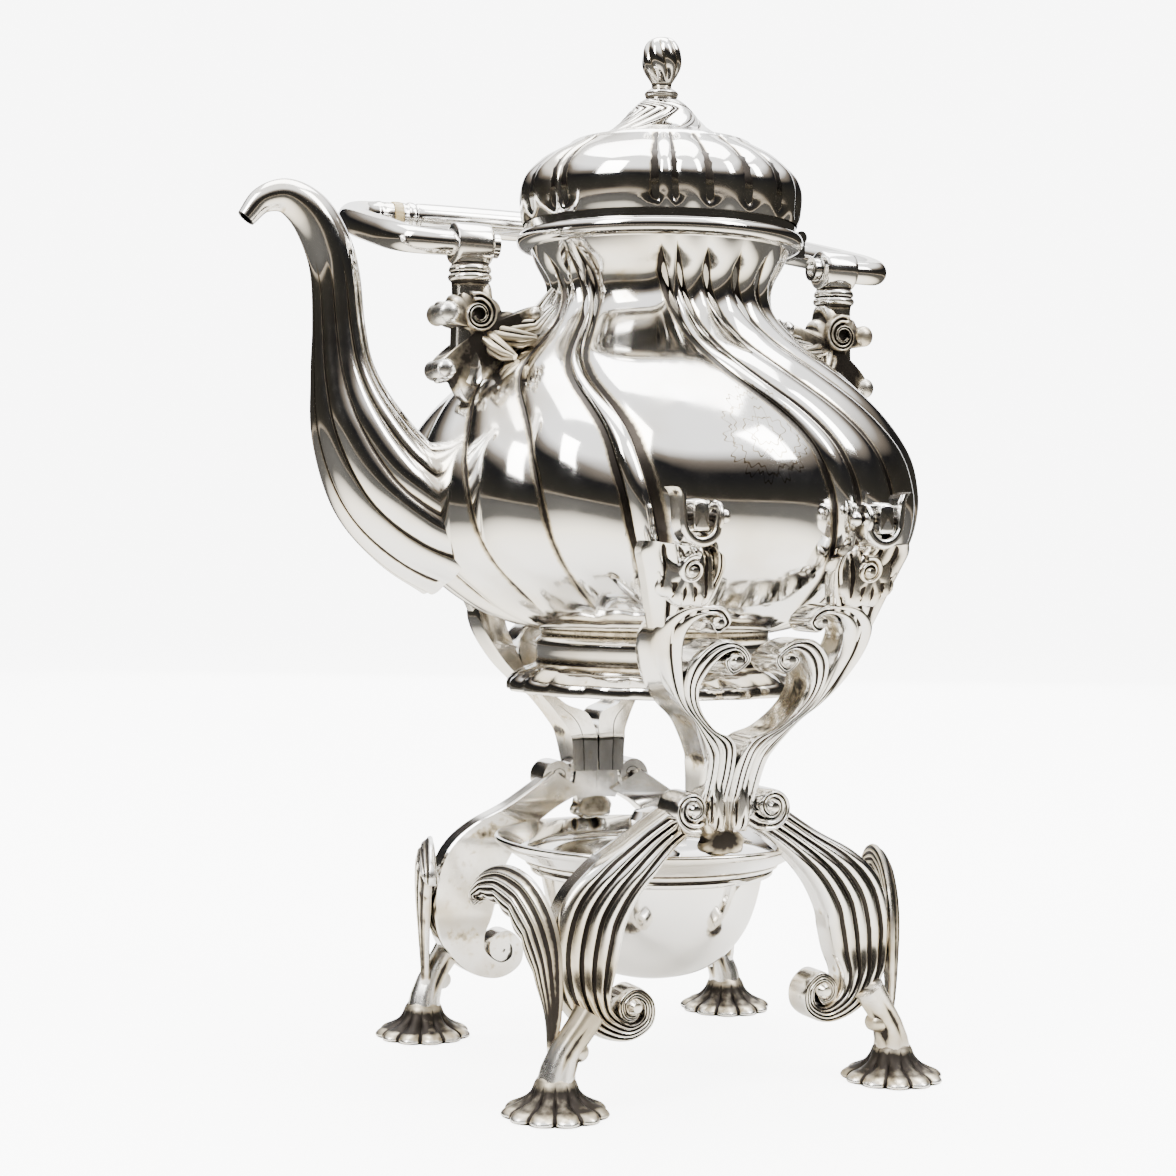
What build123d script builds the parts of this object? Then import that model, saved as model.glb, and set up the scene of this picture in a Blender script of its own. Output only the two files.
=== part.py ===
from build123d import *
import os
from math import cos, sin, radians, sqrt

# Silver spirit kettle on a stand with a burner.
# Millimetres, +Z up, origin on the table under the kettle's axis.
# The spout points to -X (front), the stand's two side frames face -Y (left) and +Y (right).

# kettle
wall = 1.0
body_bottom_z = 166.5
rim_z = 322.0
belly_outline = [  # radius, height of the outer surface, from the middle of the bottom to the rim
    (0, body_bottom_z), (47, 168.5), (70, 176), (88.5, 189), (98, 201), (101.8, 214),
    (101.5, 226), (97.5, 239), (86.5, 254.5), (73, 267.5), (55, 281), (45.5, 292),
    (44.2, 302), (49, 312), (52, rim_z),
]
collar_radius = 56.0
collar_bottom_z = 316.0
collar_top_z = 323.0
foot_bottom_z = 145.0
foot_radius = 58.0

# spout: centre line (x, z) and radius of each section, from inside the belly to the lip
spout_sections = [
    ((-84, 204), 25.0), ((-99, 212), 24.0), ((-113, 225), 22.5), ((-123.5, 244), 17.8),
    ((-129, 263), 12.4), ((-130.8, 280), 10.0), ((-132.2, 298), 9.3), ((-135.5, 310), 8.9),
    ((-142, 321), 8.2), ((-151, 326.5), 6.6), ((-160, 324.5), 4.9), ((-166.2, 317.5), 3.6),
]
strainer_z = 216.0
strainer_radius = 16.0
strainer_pitch = 5.6
strainer_hole_radius = 1.6

# handle posts and swinging handle
post_x = 79.5
pivot_z = 314.0
post_radius = 6.9
post_ring_z = 302.0
knuckle_radius = 7.9
pivot_radius = 3.0
bail_rest_angle = 13.5       # of the handle's arms above the horizontal, folded to +Y
bail_reach = 99.0            # from the pivots to the middle of the grip
arm_radius = 5.9
arm_out_x = 104.4            # the arms bow out to here
grip_half_length = 73.0
grip_radius = 6.5
insulator_length = 4.0
insulator_radius = 6.3

# lid
lid_outline = [(53.6, 326), (55.4, 337.5), (52.8, 345), (46.7, 351), (35, 357.5),
               (22, 361.5), (16.6, 366), (10.9, 372.4), (6.3, 375.8), (3.1, 376.3)]
bezel_radius = 48.6
bezel_bottom_z = 317.5
hinge_x = 58.8
hinge_z = 325.2
hinge_barrel_radius = 2.5
hinge_pin_radius = 1.1
knuckle_width = 8.0
top_z = 400.0

# lugs and the stand's forks that carry the kettle
lug_x = 37.0
lug_y = 105.0
lug_z = 212.0
lug_half_width = 3.0
lug_seat_z = 206.0
pin_radius = 1.6
fork_gap = 0.5               # on each side of a lug
fork_ear = 2.4
fork_base_bottom_z = 200.5

# stand
frame_y = 60.0               # middle plane of the legs
leg_thickness = 12.0
bracket_thickness = 10.0
bracket_foot_y = 59.2        # the bracket's middle plane at bracket_foot_z
bracket_foot_z = 112.0
bracket_lean = 23.6          # degrees outward from the vertical
knot_x, knot_z, knot_radius = 15.8, 106.0, 8.8
knot_front_y, knot_back_y = 64.0, 52.0
knee_leaf_y = 64.8           # where the leaf leaves the foot
leg_foot_x = 70.0
foot_y = 66.5
shell_foot_radius = 18.5

# burner ring and lamp
ring_radius = 62.0
ring_top_z = 88.0
ring_bore = 44.2
ledge_z = 80.0
lamp_radius = 43.6
lamp_bottom_z = 32.0
wick_tube_radius = 6.5
wick_radius = 4.9
wick_tube_top_z = 92.0
snuffer_hinge_x = 11.5
snuffer_hinge_z = 88.5
snuffer_radius = 9.0
snuffer_top_z = 99.0

sides = {"left": -1, "right": 1}      # left is the -Y side frame
ends = {"front": -1, "rear": 1}       # front is the -X end, where the spout is


def turned(points):
    """Solid turned about Z from an outline of radius, height points."""
    return revolve(Plane.XZ * make_face(Polyline(*points, close=True)), Axis.Z)


def smooth_outline(points):
    """Smooth curve through outline points, level where it leaves the axis."""
    if points[0][0] > 0:
        return Spline(*points)
    last = Vector(*points[-1]) - Vector(*points[-2])
    return Spline(*points, tangents=[(1, 0), (last.X, last.Y)])


def turned_shell(points, thickness):
    """Sheet-metal shell turned about Z: a smooth outer curve and its inward offset."""
    outer = smooth_outline(points)
    count = 2 * len(points)
    inner_points = []
    for i in range(count + 1):
        tangent = outer % (i / count)
        inner_points.append(outer @ (i / count) + Vector(-tangent.Y, tangent.X) * thickness)
    inner = Spline(*inner_points)
    edges = [outer, Line(outer @ 1, inner @ 1), inner, Line(inner @ 0, outer @ 0)]
    return revolve(Plane.XZ * make_face(edges), Axis.Z)


def turned_curve(points):
    """Solid turned about Z from a smooth outer curve closed onto the axis."""
    outer = smooth_outline(points)
    top, bottom = outer @ 1, outer @ 0
    edges = [outer, Line(top, (0, top.Y))]
    if bottom.X > 0:
        edges += [Line((0, top.Y), (0, bottom.Y)), Line((0, bottom.Y), bottom)]
    else:
        edges += [Line((0, top.Y), bottom)]
    return revolve(Plane.XZ * make_face(edges), Axis.Z)


def rod_x(x0, x1, y, z, radius):
    """Round bar along X."""
    low, high = min(x0, x1), max(x0, x1)
    return Plane.YZ.offset(low) * Pos(y, z) * extrude(Circle(radius), high - low)


def rod_y(y0, y1, x, z, radius):
    """Round bar along Y."""
    plane = Plane(origin=(x, min(y0, y1), z), x_dir=(1, 0, 0), z_dir=(0, 1, 0))
    return plane * extrude(Circle(radius), abs(y1 - y0))


def plate_y(outline, y0, y1):
    """Plate standing in an XZ plane, from a closed outline of x, z points."""
    face = make_face(Polyline(*outline, close=True))
    return Plane.XZ.offset(-max(y0, y1)) * extrude(face, abs(y1 - y0))


def block(x0, x1, y0, y1, z0, z1):
    """Rectangular block between two corners."""
    size = Box(abs(x1 - x0), abs(y1 - y0), abs(z1 - z0))
    return Pos((x0 + x1) / 2, (y0 + y1) / 2, (z0 + z1) / 2) * size


def mirror_end(shape, end):
    """A shape made for the +X end, put on the asked end."""
    return shape if end > 0 else mirror(shape, Plane.YZ)


def mirror_side(shape, side):
    """A shape made for the -Y side, put on the asked side."""
    return shape if side < 0 else mirror(shape, Plane.XZ)


def spout_loft(shrink):
    """Solid through the spout's sections, each circle smaller by shrink."""
    count = len(spout_sections)
    circles = []
    for i, ((x, z), radius) in enumerate(spout_sections):
        before = spout_sections[max(i - 1, 0)][0]
        after = spout_sections[min(i + 1, count - 1)][0]
        along = Vector(after[0] - before[0], 0, after[1] - before[1])
        circles.append(Plane(origin=(x, 0, z), x_dir=(0, 1, 0), z_dir=along) * Circle(radius - shrink))
    return loft(circles)


belly_solid = turned_curve(belly_outline)


def kettle_body():
    """Hollow belly and neck, with the opening that leads into the spout."""
    shell = turned_shell(belly_outline, wall)
    return shell - rod_x(-115, -80, 0, strainer_z, strainer_radius)


def spout_strainer():
    """Perforated disc and its rim, set in the opening behind the spout."""
    rim = rod_x(-102, -96.5, 0, strainer_z, strainer_radius)
    rim -= rod_x(-102, -97.5, 0, strainer_z, strainer_radius - 1)
    holes = []
    for row in range(-2, 3):
        for column in range(-2, 3):
            if abs(row) + abs(column) < 4:
                y = (column + 0.5 * (row % 2)) * strainer_pitch
                z = strainer_z + row * strainer_pitch * 0.87
                holes.append(rod_x(-98, -96, y, z, strainer_hole_radius))
    return rim - holes


def neck_collar():
    """Moulded ring round the rim, flush with the seat of the lid."""
    ring = turned([(44, collar_bottom_z), (collar_radius - 2, collar_bottom_z),
                   (collar_radius, collar_bottom_z + 1.5), (collar_radius, collar_top_z - 1.5),
                   (collar_radius - 1, collar_top_z), (51, collar_top_z), (51, rim_z), (44, rim_z)])
    return ring - belly_solid


def kettle_foot():
    """Spreading foot under the belly: cove, plinth ring and flared skirt."""
    skirt = turned([(38, 172), (46, 172), (44.5, 166), (46.5, 164), (46.5, 157), (48, 154.5),
                    (54, 152), (foot_radius, 149), (foot_radius, foot_bottom_z),
                    (foot_radius - 2, foot_bottom_z), (foot_radius - 2, 147.5), (46, 152.5), (38, 163)])
    return skirt - belly_solid


def spout():
    """Tapering hollow spout with a turned-down lip, let onto the belly."""
    lip_plane_x = spout_sections[-1][0][0]
    tube = spout_loft(0) - belly_solid
    bore = spout_loft(wall)
    return (tube - bore) & block(lip_plane_x - 5, 0, -60, 60, 150, 345)


def handle_post(end):
    """Upright with a cast leaf foot on the shoulder and a knuckle for the handle."""
    shaft = Pos(post_x, 0, (pivot_z + 262) / 2) * Cylinder(post_radius, pivot_z - 262)
    ring = Pos(post_x, 0, post_ring_z) * Cylinder(post_radius + 1.3, 2.4)
    knuckle = rod_x(post_x - knuckle_radius, post_x + knuckle_radius, 0, pivot_z, knuckle_radius)
    foot_outline = [(51, 285), (60, 282), (68, 284), (72, 291), (73, 297), (86, 297), (86, 290),
                    (90, 283), (87, 275), (93, 266), (90, 258), (82, 250), (60, 265)]
    foot = plate_y(foot_outline, -7.5, 7.5)
    bore = rod_x(post_x - 20, post_x + 20, 0, pivot_z, pivot_radius + 0.05)
    return mirror_end(shaft + ring + knuckle + foot - belly_solid - bore, end)


def lug(side, end):
    """Small cast lug on the belly that stands between the ears of a fork."""
    plate = block(lug_x - lug_half_width, lug_x + lug_half_width, -lug_y - 4.5, -90,
                  lug_seat_z, lug_z + 6)
    hole = rod_x(lug_x - 10, lug_x + 10, -lug_y, lug_z, pin_radius)
    return mirror_side(mirror_end(plate - belly_solid - hole, end), side)


def lug_pin(side, end):
    """Pin through the lug, with a disc and a small knob on its inner end."""
    outline = [(0, -11.6), (1.8, -11.1), (2.5, -9.6), (pin_radius, -8.1), (5.8, -7.9), (5.8, -6.3),
               (pin_radius, -6.3), (pin_radius, 6.9), (0, 6.9)]
    return Pos(end * lug_x, side * lug_y, lug_z) * Rot(0, 90 * end, 0) * turned(outline)


def hinge_leaf():
    """Fixed half of the lid hinge, soldered to the back of the collar."""
    barrels = [rod_y(y0, y0 + knuckle_width * 0.6, hinge_x, hinge_z, hinge_barrel_radius)
               for y0 in (-knuckle_width * 1.15, knuckle_width * 0.55)]
    leaf = block(50, hinge_x + 1.6, -knuckle_width * 1.15, knuckle_width * 1.15,
                 collar_bottom_z + 1, hinge_z - 1.2)
    relief = rod_y(-knuckle_width * 0.55, knuckle_width * 0.55, hinge_x, hinge_z,
                   hinge_barrel_radius + 0.4)
    collar_core = Pos(0, 0, (collar_bottom_z + collar_top_z) / 2) * Cylinder(
        collar_radius, collar_top_z - collar_bottom_z)
    above = block(40, hinge_x - 2.4, -20, 20, collar_top_z, 340)
    hole = rod_y(-20, 20, hinge_x, hinge_z, hinge_pin_radius)
    return leaf + barrels - relief - collar_core - above - hole


def hinge_pin():
    """Pin of the lid hinge, fixed in the leaf."""
    return rod_y(-knuckle_width * 1.25, knuckle_width * 1.25, hinge_x, hinge_z, hinge_pin_radius)


def lid_dome():
    """Raised hollow lid."""
    dome = turned_shell(lid_outline, 1.1)
    notch = rod_y(-knuckle_width * 1.3, knuckle_width * 1.3, hinge_x, hinge_z, hinge_barrel_radius + 0.5)
    return dome - notch


def lid_bezel():
    """Flange that stands the lid off the collar and a skirt that drops into the neck."""
    ring = turned([(bezel_radius - 1, bezel_bottom_z), (bezel_radius, bezel_bottom_z), (bezel_radius, collar_top_z),
                   (53, collar_top_z), (53, 326), (46, 326), (46, 324.8), (bezel_radius - 1, 324.8)])
    return ring


def lid_knuckle():
    """Moving half of the lid hinge, soldered to the back of the lid."""
    barrel = rod_y(-knuckle_width * 0.5, knuckle_width * 0.5, hinge_x, hinge_z, hinge_barrel_radius)
    arm = block(48, hinge_x, -knuckle_width * 0.5, knuckle_width * 0.5, 326, 329.5)
    dome_core = turned_curve([(0, 325), *lid_outline[:1], *lid_outline[1:-1], (0, 376.4)][1:-1])
    hole = rod_y(-20, 20, hinge_x, hinge_z, hinge_pin_radius + 0.05)
    return arm + barrel - dome_core - lid_bezel() - hole


def finial():
    """Bud finial on a turned neck, with its threaded stem through the lid."""
    bud = turned([(0, 366), (3.0, 366), (3.0, 376.4), (6.0, 376.4), (6.6, 378), (4.2, 380),
                  (4.2, 382), (5.8, 384), (7.3, 388), (7.5, 392), (6.6, 396), (4.2, 399), (0, top_z)])
    return bud


def finial_nut():
    """Nut inside the lid that holds the finial."""
    nut = Pos(0, 0, 369.5) * extrude(RegularPolygon(5.2, 6), 3.0)
    return nut - Cylinder(3.0, 1000)


def bail_place(shape):
    """Turns a handle part, made lying flat towards +Y, up to the rest angle about the pivots."""
    return Pos(0, 0, pivot_z) * Rot(bail_rest_angle, 0, 0) * shape


def bail_arm(end):
    """Round arm: pivot, outward bow and the turn into the grip."""
    start_x = post_x - knuckle_radius - 3.0
    grip_end_x = grip_half_length + insulator_length
    corners = [(post_x + knuckle_radius + 0.5, 0, 0), (arm_out_x, 0, 0), (arm_out_x + 1, 48, 0),
               (arm_out_x - 9, bail_reach, 0), (grip_end_x, bail_reach, 0)]
    path = FilletPolyline(*corners, radius=[13, 60, 15])
    rod = sweep(Plane(origin=corners[0], z_dir=(1, 0, 0)) * Circle(arm_radius), path=path)
    pivot = rod_x(start_x, corners[0][0], 0, 0, pivot_radius)
    shape = bail_place(rod + pivot)
    return mirror_end(shape, end)


def bail_insulator(end):
    """Ivory disc between arm and grip that keeps the heat from the hand."""
    x0 = grip_half_length
    disc = rod_x(x0, x0 + insulator_length, bail_reach, 0, insulator_radius)
    return mirror_end(bail_place(disc), end)


def bail_grip():
    """Silver grip tube between the two insulators."""
    tube = rod_x(-grip_half_length, grip_half_length, bail_reach, 0, grip_radius)
    return bail_place(tube)


def pivot_button(end):
    """Nut on the inner end of a handle pivot."""
    x1 = post_x - knuckle_radius - 0.3
    button = rod_x(x1 - 2.6, x1, 0, pivot_z, 4.6) - rod_x(60, 90, 0, pivot_z, pivot_radius)
    return mirror_end(button, end)


def knot_shape():
    """The two waist scrolls of the -Y frame and the web between them."""
    discs = [rod_y(-knot_front_y, -knot_back_y, x, knot_z, knot_radius) for x in (-knot_x, knot_x)]
    web = block(-knot_x, knot_x, -knot_front_y + 1.5, -knot_back_y - 1.5, knot_z - 8, knot_z + 8)
    return discs[0] + discs[1] + web


def leg_shape():
    """Leg of the -Y frame at the +X end: a broad scroll that ends in a volute."""
    outer = Spline((14, 112), (20, 108.5), (39.5, 95.5), (54, 87.5), (65, 77), (70, 63), (69.8, 50),
                   (65.5, 38), (55.5, 27.5), (42, 23.5))
    inner = Spline((42, 23.5), (32, 28.5), (31, 37.5), (37, 43.5), (43.8, 48.5), (43, 58), (41, 66),
                   (34, 78), (20, 92), (8, 99))
    close = Line((8, 99), (14, 112))
    face = make_face([outer, inner, close])
    plane = Plane.XZ.offset(frame_y - leg_thickness / 2)
    return plane * extrude(face, leg_thickness)


def bracket_shape():
    """Heart of the -Y frame: two scrolls that lean outward, open in the middle."""
    lift = 1 / cos(radians(bracket_lean))
    outer = [(11.6, 112), (12.3, 121.5), (14.6, 127.5), (22.1, 138.6), (29.9, 145.2), (37.3, 153.7),
             (43.2, 166), (46.5, 178), (50.5, 189.5), (52.5, 200.5)]
    top = [(52.5, 200.5), (27.5, 200.5)]
    inner = [(27.5, 200.5), (25.5, 192), (27, 184), (24, 181), (18, 179.5), (15.6, 174.5), (14.5, 169.5),
             (10, 168), (5.5, 165), (4.8, 161.5), (6.5, 157.5), (10.8, 155.8), (16, 157.6), (20.5, 156.5),
             (22.6, 151), (19.5, 143), (12, 135.5), (3, 131.6), (0, 131.2)]
    outer, top, inner = ([(x, (z - bracket_foot_z) * lift) for x, z in edge] for edge in (outer, top, inner))
    half = make_face([Spline(*outer), Line(*top), Spline(*inner), Polyline(inner[-1], (0, 0), outer[0])])
    plane = Plane(origin=(0, -bracket_foot_y, bracket_foot_z), x_dir=(1, 0, 0),
                  z_dir=(0, -cos(radians(bracket_lean)), -sin(radians(bracket_lean))))
    plate = plane * Pos(0, 0, -bracket_thickness / 2) * extrude(half, bracket_thickness)
    kettle_room = turned([(0, 160), (50, 160), (73, 172), (91, 185), (101, 198.5), (104.5, 213), (0, 213)])
    plate = keep_largest(plate - kettle_room)
    return plate + mirror(plate, Plane.YZ)


def waist_knot(side):
    """Pair of waist scrolls."""
    return mirror_side(knot_shape(), side)


def leg(side, end):
    """One leg, let onto the waist scrolls."""
    return mirror_side(mirror_end(leg_shape() - knot_shape() - block(-40, 9, -90, -50, 90, 130), end), side)


def heart_bracket(side):
    """One heart-shaped bracket, let onto the waist."""
    leg_pair = leg_shape() + mirror(leg_shape(), Plane.YZ)
    return mirror_side(bracket_shape() - knot_shape() - leg_pair, side)


def knee_leaf(side, end):
    """Acanthus leaf that rises from the foot and curls out beside the knee."""
    along = Vector(14, 43, 0).normalized()
    outline = [(-3, 30), (-3, 66), (4, 76), (14, 84), (26, 86), (38, 83), (45, 76), (40, 69),
               (28, 63), (16, 50), (6, 36), (2, 30)]
    plane = Plane(origin=(70, -knee_leaf_y, 0), x_dir=along, z_dir=along.cross(Vector(0, 0, 1)))
    leaf = plane * Pos(0, 0, -1.75) * extrude(make_face(Polyline(*outline, close=True)), 3.5)
    return mirror_side(mirror_end(keep_largest(leaf - leg_shape() - foot_shape()), end), side)


def foot_shape():
    """Scallop foot under the +X leg of the -Y frame, with the neck that joins it to the leg."""
    skirt = turned([(0, 0), (shell_foot_radius - 1, 0), (shell_foot_radius, 2.5), (16, 6.5), (10.5, 11),
                    (7.5, 17), (0, 17)])
    neck_start, neck_end = Vector(leg_foot_x, -foot_y, 10), Vector(60, -frame_y - 1, 36)
    neck_line = neck_end - neck_start
    neck = Plane(origin=neck_start, z_dir=neck_line) * extrude(Circle(5.8), neck_line.length)
    return keep_largest(Pos(leg_foot_x, -foot_y, 0) * skirt + neck - leg_shape())


def shell_foot(side, end):
    """One scallop foot."""
    return mirror_side(mirror_end(foot_shape(), end), side)


def keep_largest(shape):
    """The largest solid of a cut shape."""
    return max(shape.solids(), key=lambda s: s.volume)


def fork(side, end):
    """Open-topped fork on the bracket: the lug seats on its base, the pin drops in its slots."""
    reach = lug_half_width + fork_gap + fork_ear
    base = block(lug_x - reach, lug_x + reach, -lug_y - 4.5, -lug_y + 4.5, fork_base_bottom_z, lug_seat_z)
    ears = []
    for x0 in (lug_x - reach, lug_x + reach - fork_ear):
        ear = block(x0, x0 + fork_ear, -lug_y - 4.5, -lug_y + 4.5, lug_seat_z - 1, lug_z + 2)
        ear += rod_x(x0, x0 + fork_ear, -lug_y, lug_z + 1, 5.2)
        slot_half = pin_radius + 0.25
        ear -= block(x0 - 1, x0 + fork_ear + 1, -lug_y - slot_half, -lug_y + slot_half,
                     lug_z - slot_half, lug_z + 20)
        ears.append(ear)
    shape = base + ears[0] + ears[1] - bracket_shape()
    return mirror_side(mirror_end(keep_largest(shape), end), side)


def burner_ring():
    """Dished ring between the frames that holds the lamp."""
    ring = turned([(ring_bore, 74), (47, 73.5), (49, 76), (52, 79), (ring_radius, ring_top_z - 2),
                   (ring_radius, ring_top_z), (ring_radius - 2, ring_top_z), (51, 82),
                   (49, ledge_z), (ring_bore, ledge_z)])
    frames = knot_shape() + leg_shape() + mirror(leg_shape(), Plane.YZ)
    return ring - frames - mirror(frames, Plane.XZ)


def ring_bracket(side):
    """Arm that joins the burner ring to the waist of a side frame."""
    arm = block(-8, 8, -ring_radius + 0.5, -knot_back_y, ring_top_z - 2, knot_z - 6)
    shape = arm - knot_shape() - turned([(0, 70), (ring_radius, 70), (ring_radius, ring_top_z), (0, ring_top_z)])
    legs = leg_shape() + mirror(leg_shape(), Plane.YZ)
    return mirror_side(keep_largest(shape - legs), side)


def lamp_bowl():
    """Round spirit bowl under the ring."""
    outline = [(0, lamp_bottom_z), (20, 35.6), (33, 45.5), (40, 58), (lamp_radius, 71), (lamp_radius, ledge_z)]
    return turned_shell(outline, wall)


def lamp_cover():
    """Dished top of the lamp, whose rim rests on the ring."""
    return turned([(wick_tube_radius, 74), (13, 73), (30, 75.5), (41, ledge_z), (47.5, ledge_z),
                   (47.5, ledge_z + 1.2), (41, ledge_z + 1.2), (30, 76.8), (13, 74.6), (12, 80),
                   (9.5, 82.5), (wick_tube_radius, 82.5)])


def wick_tube():
    """Screwed wick holder with a milled collar."""
    return turned([(wick_radius, 66), (wick_tube_radius, 66), (wick_tube_radius, 82.5), (9.2, 82.5),
                   (9.2, 85.5), (wick_tube_radius, 85.5), (wick_tube_radius, wick_tube_top_z),
                   (wick_radius, wick_tube_top_z)])


def wick():
    """Round cotton wick that hangs into the bowl."""
    return Pos(0, 0, (38 + wick_tube_top_z + 1.6) / 2) * Cylinder(wick_radius, wick_tube_top_z + 1.6 - 38)


def snuffer_hinge():
    """Hinge lug of the snuffer on the wick collar."""
    post = block(8.5, snuffer_hinge_x + 1.6, -4.6, 4.6, 83.2, snuffer_hinge_z)
    ears = rod_y(-4.6, 4.6, snuffer_hinge_x, snuffer_hinge_z, 1.8)
    middle = block(snuffer_hinge_x - 2.3, snuffer_hinge_x + 4, -2.3, 2.3, snuffer_hinge_z - 2.4, 95)
    hole = rod_y(-10, 10, snuffer_hinge_x, snuffer_hinge_z, 0.7)
    near = Pos(0, 0, 88) * Cylinder(snuffer_radius + 0.3, 20) & block(-20, 20, -20, 20, 86, 100)
    return keep_largest(post + ears - middle - hole - near - wick_tube())


def snuffer_pin():
    """Pin of the snuffer hinge."""
    return rod_y(-4.9, 4.9, snuffer_hinge_x, snuffer_hinge_z, 0.7)


def snuffer_cap():
    """Domed cap that shuts over the wick, with its hinge eye."""
    dome = turned([(snuffer_radius - 1, 88.5), (snuffer_radius, 88.5), (snuffer_radius, 94), (7, 97.4),
                   (2.6, 98.4), (0, snuffer_top_z), (0, 97.4), (2, 97.2), (6.3, 96.2),
                   (snuffer_radius - 1, 93.2)])
    arm = block(8.3, snuffer_hinge_x, -2.0, 2.0, snuffer_hinge_z, 90.3)
    eye = rod_y(-2.0, 2.0, snuffer_hinge_x, snuffer_hinge_z, 1.8)
    inside = Pos(0, 0, 90) * Cylinder(snuffer_radius - 1, 10)
    hole = rod_y(-10, 10, snuffer_hinge_x, snuffer_hinge_z, 0.75)
    return dome + (arm + eye - inside) - hole


def write(name, shape):
    """Writes one node as a STEP file."""
    export_step(shape if len(shape.solids()) > 1 else shape.solids()[0], f"parts/{name}.step")


def main():
    os.makedirs("parts", exist_ok=True)
    for maker in (kettle_body, neck_collar, kettle_foot, spout, spout_strainer, hinge_leaf, hinge_pin,
                  lid_dome, lid_bezel, lid_knuckle, finial, finial_nut, bail_grip, burner_ring,
                  lamp_bowl, lamp_cover, wick_tube, wick, snuffer_hinge, snuffer_pin, snuffer_cap):
        write(maker.__name__, maker())
    for end_name, end in ends.items():
        for maker in (handle_post, bail_arm, bail_insulator, pivot_button):
            write(f"{end_name}_{maker.__name__}", maker(end))
    for side_name, side in sides.items():
        for maker in (waist_knot, heart_bracket, ring_bracket):
            write(f"{side_name}_{maker.__name__}", maker(side))
        for end_name, end in ends.items():
            for maker in (lug, lug_pin, leg, knee_leaf, shell_foot, fork):
                write(f"{side_name}_{end_name}_{maker.__name__}", maker(side, end))


main()
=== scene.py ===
import math
import bpy
import numpy as np
from mathutils import Vector, Matrix


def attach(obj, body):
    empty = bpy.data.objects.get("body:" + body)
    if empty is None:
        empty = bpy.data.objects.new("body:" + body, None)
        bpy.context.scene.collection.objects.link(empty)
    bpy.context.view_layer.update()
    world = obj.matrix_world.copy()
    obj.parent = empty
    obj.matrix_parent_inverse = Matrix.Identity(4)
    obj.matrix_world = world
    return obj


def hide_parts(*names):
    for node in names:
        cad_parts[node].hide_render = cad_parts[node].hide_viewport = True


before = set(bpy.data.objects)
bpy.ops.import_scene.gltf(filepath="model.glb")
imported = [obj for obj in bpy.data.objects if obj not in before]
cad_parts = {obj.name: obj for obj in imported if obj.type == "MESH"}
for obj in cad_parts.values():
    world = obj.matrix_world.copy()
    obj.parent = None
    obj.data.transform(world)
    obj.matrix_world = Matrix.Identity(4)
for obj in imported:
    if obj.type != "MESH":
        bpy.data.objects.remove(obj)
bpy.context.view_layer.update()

mm = 0.001
ends = {"front": -1, "rear": 1}      # front is the spout's end, -X
sides = {"left": -1, "right": 1}     # left is the -Y side frame


def say(text):
    print("[kettle]", text)


def deselectAll():
    if bpy.context.mode != "OBJECT":
        bpy.ops.object.mode_set(mode="OBJECT")
    bpy.ops.object.select_all(action="DESELECT")


# curves and outlines

def smoothLine(points, steps=8, closed=False):
    # a smooth line through a few points, of any number of coordinates
    pts = [np.array(p, float) for p in points]
    count = len(pts)
    out = []
    for i in range(count if closed else count - 1):
        if closed:
            a, b, c, d = (pts[(i + k) % count] for k in (-1, 0, 1, 2))
        else:
            b, c = pts[i], pts[i + 1]
            a = pts[i - 1] if i > 0 else 2 * b - c
            d = pts[i + 2] if i + 2 < count else 2 * c - b
        for k in range(steps):
            t = k / steps
            out.append(0.5 * (2 * b + (c - a) * t + (2 * a - 5 * b + 4 * c - d) * t ** 2
                              + (3 * b - a - 3 * c + d) * t ** 3))
    if not closed:
        out.append(pts[-1])
    return np.array(out)


def evenLine(line, count):
    # the same line with its points evenly spaced
    gaps = np.linalg.norm(np.diff(line, axis=0), axis=1)
    far = np.concatenate([[0], np.cumsum(gaps)])
    want = np.linspace(0, far[-1], count)
    return np.array([[np.interp(w, far, line[:, k]) for k in range(line.shape[1])] for w in want])


def smoothStep(low, high, x):
    t = min(max((x - low) / (high - low), 0.0), 1.0)
    return t * t * (3 - 2 * t)


# pieces

def sheetPiece(name, across, lengthwise, place, capped=False, merge=1e-6):
    # a grid, shaped point by point; its seams and poles are merged and its ends closed
    deselectAll()
    bpy.ops.mesh.primitive_grid_add(x_subdivisions=across, y_subdivisions=lengthwise, size=2)
    piece = bpy.context.object
    piece.name = name
    for v in piece.data.vertices:
        v.co = Vector(place((v.co.x + 1) / 2, (v.co.y + 1) / 2)) * mm
    bpy.ops.object.mode_set(mode="EDIT")
    bpy.ops.mesh.select_all(action="SELECT")
    bpy.ops.mesh.remove_doubles(threshold=merge)
    bpy.ops.mesh.dissolve_degenerate(threshold=merge / 10)
    if capped:
        bpy.ops.mesh.select_all(action="DESELECT")
        bpy.ops.mesh.select_mode(type="EDGE")
        bpy.ops.mesh.select_non_manifold(extend=False, use_wire=False, use_multi_face=False,
                                         use_non_contiguous=False, use_verts=False)
        bpy.ops.mesh.fill_holes(sides=0)
        bpy.ops.mesh.select_mode(type="VERT")
    bpy.ops.mesh.select_all(action="SELECT")
    bpy.ops.mesh.normals_make_consistent(inside=False)
    bpy.ops.object.mode_set(mode="OBJECT")
    return piece


def turnedPiece(name, outline, around=96, relief=None, center=(0, 0), smooth=0):
    # a shape turned about a vertical axis; relief(angle, radius, z, w) adds to the radius
    line = smoothLine(outline, smooth) if smooth else np.array(outline, float)
    rows = len(line) - 1

    def place(u, w):
        a = 2 * math.pi * u
        r, z = line[min(round(w * rows), rows)]
        if relief and r > 0:
            r += relief(a, r, z, w)
        return center[0] + r * math.cos(a), center[1] + r * math.sin(a), z
    return sheetPiece(name, around, rows, place)


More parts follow.
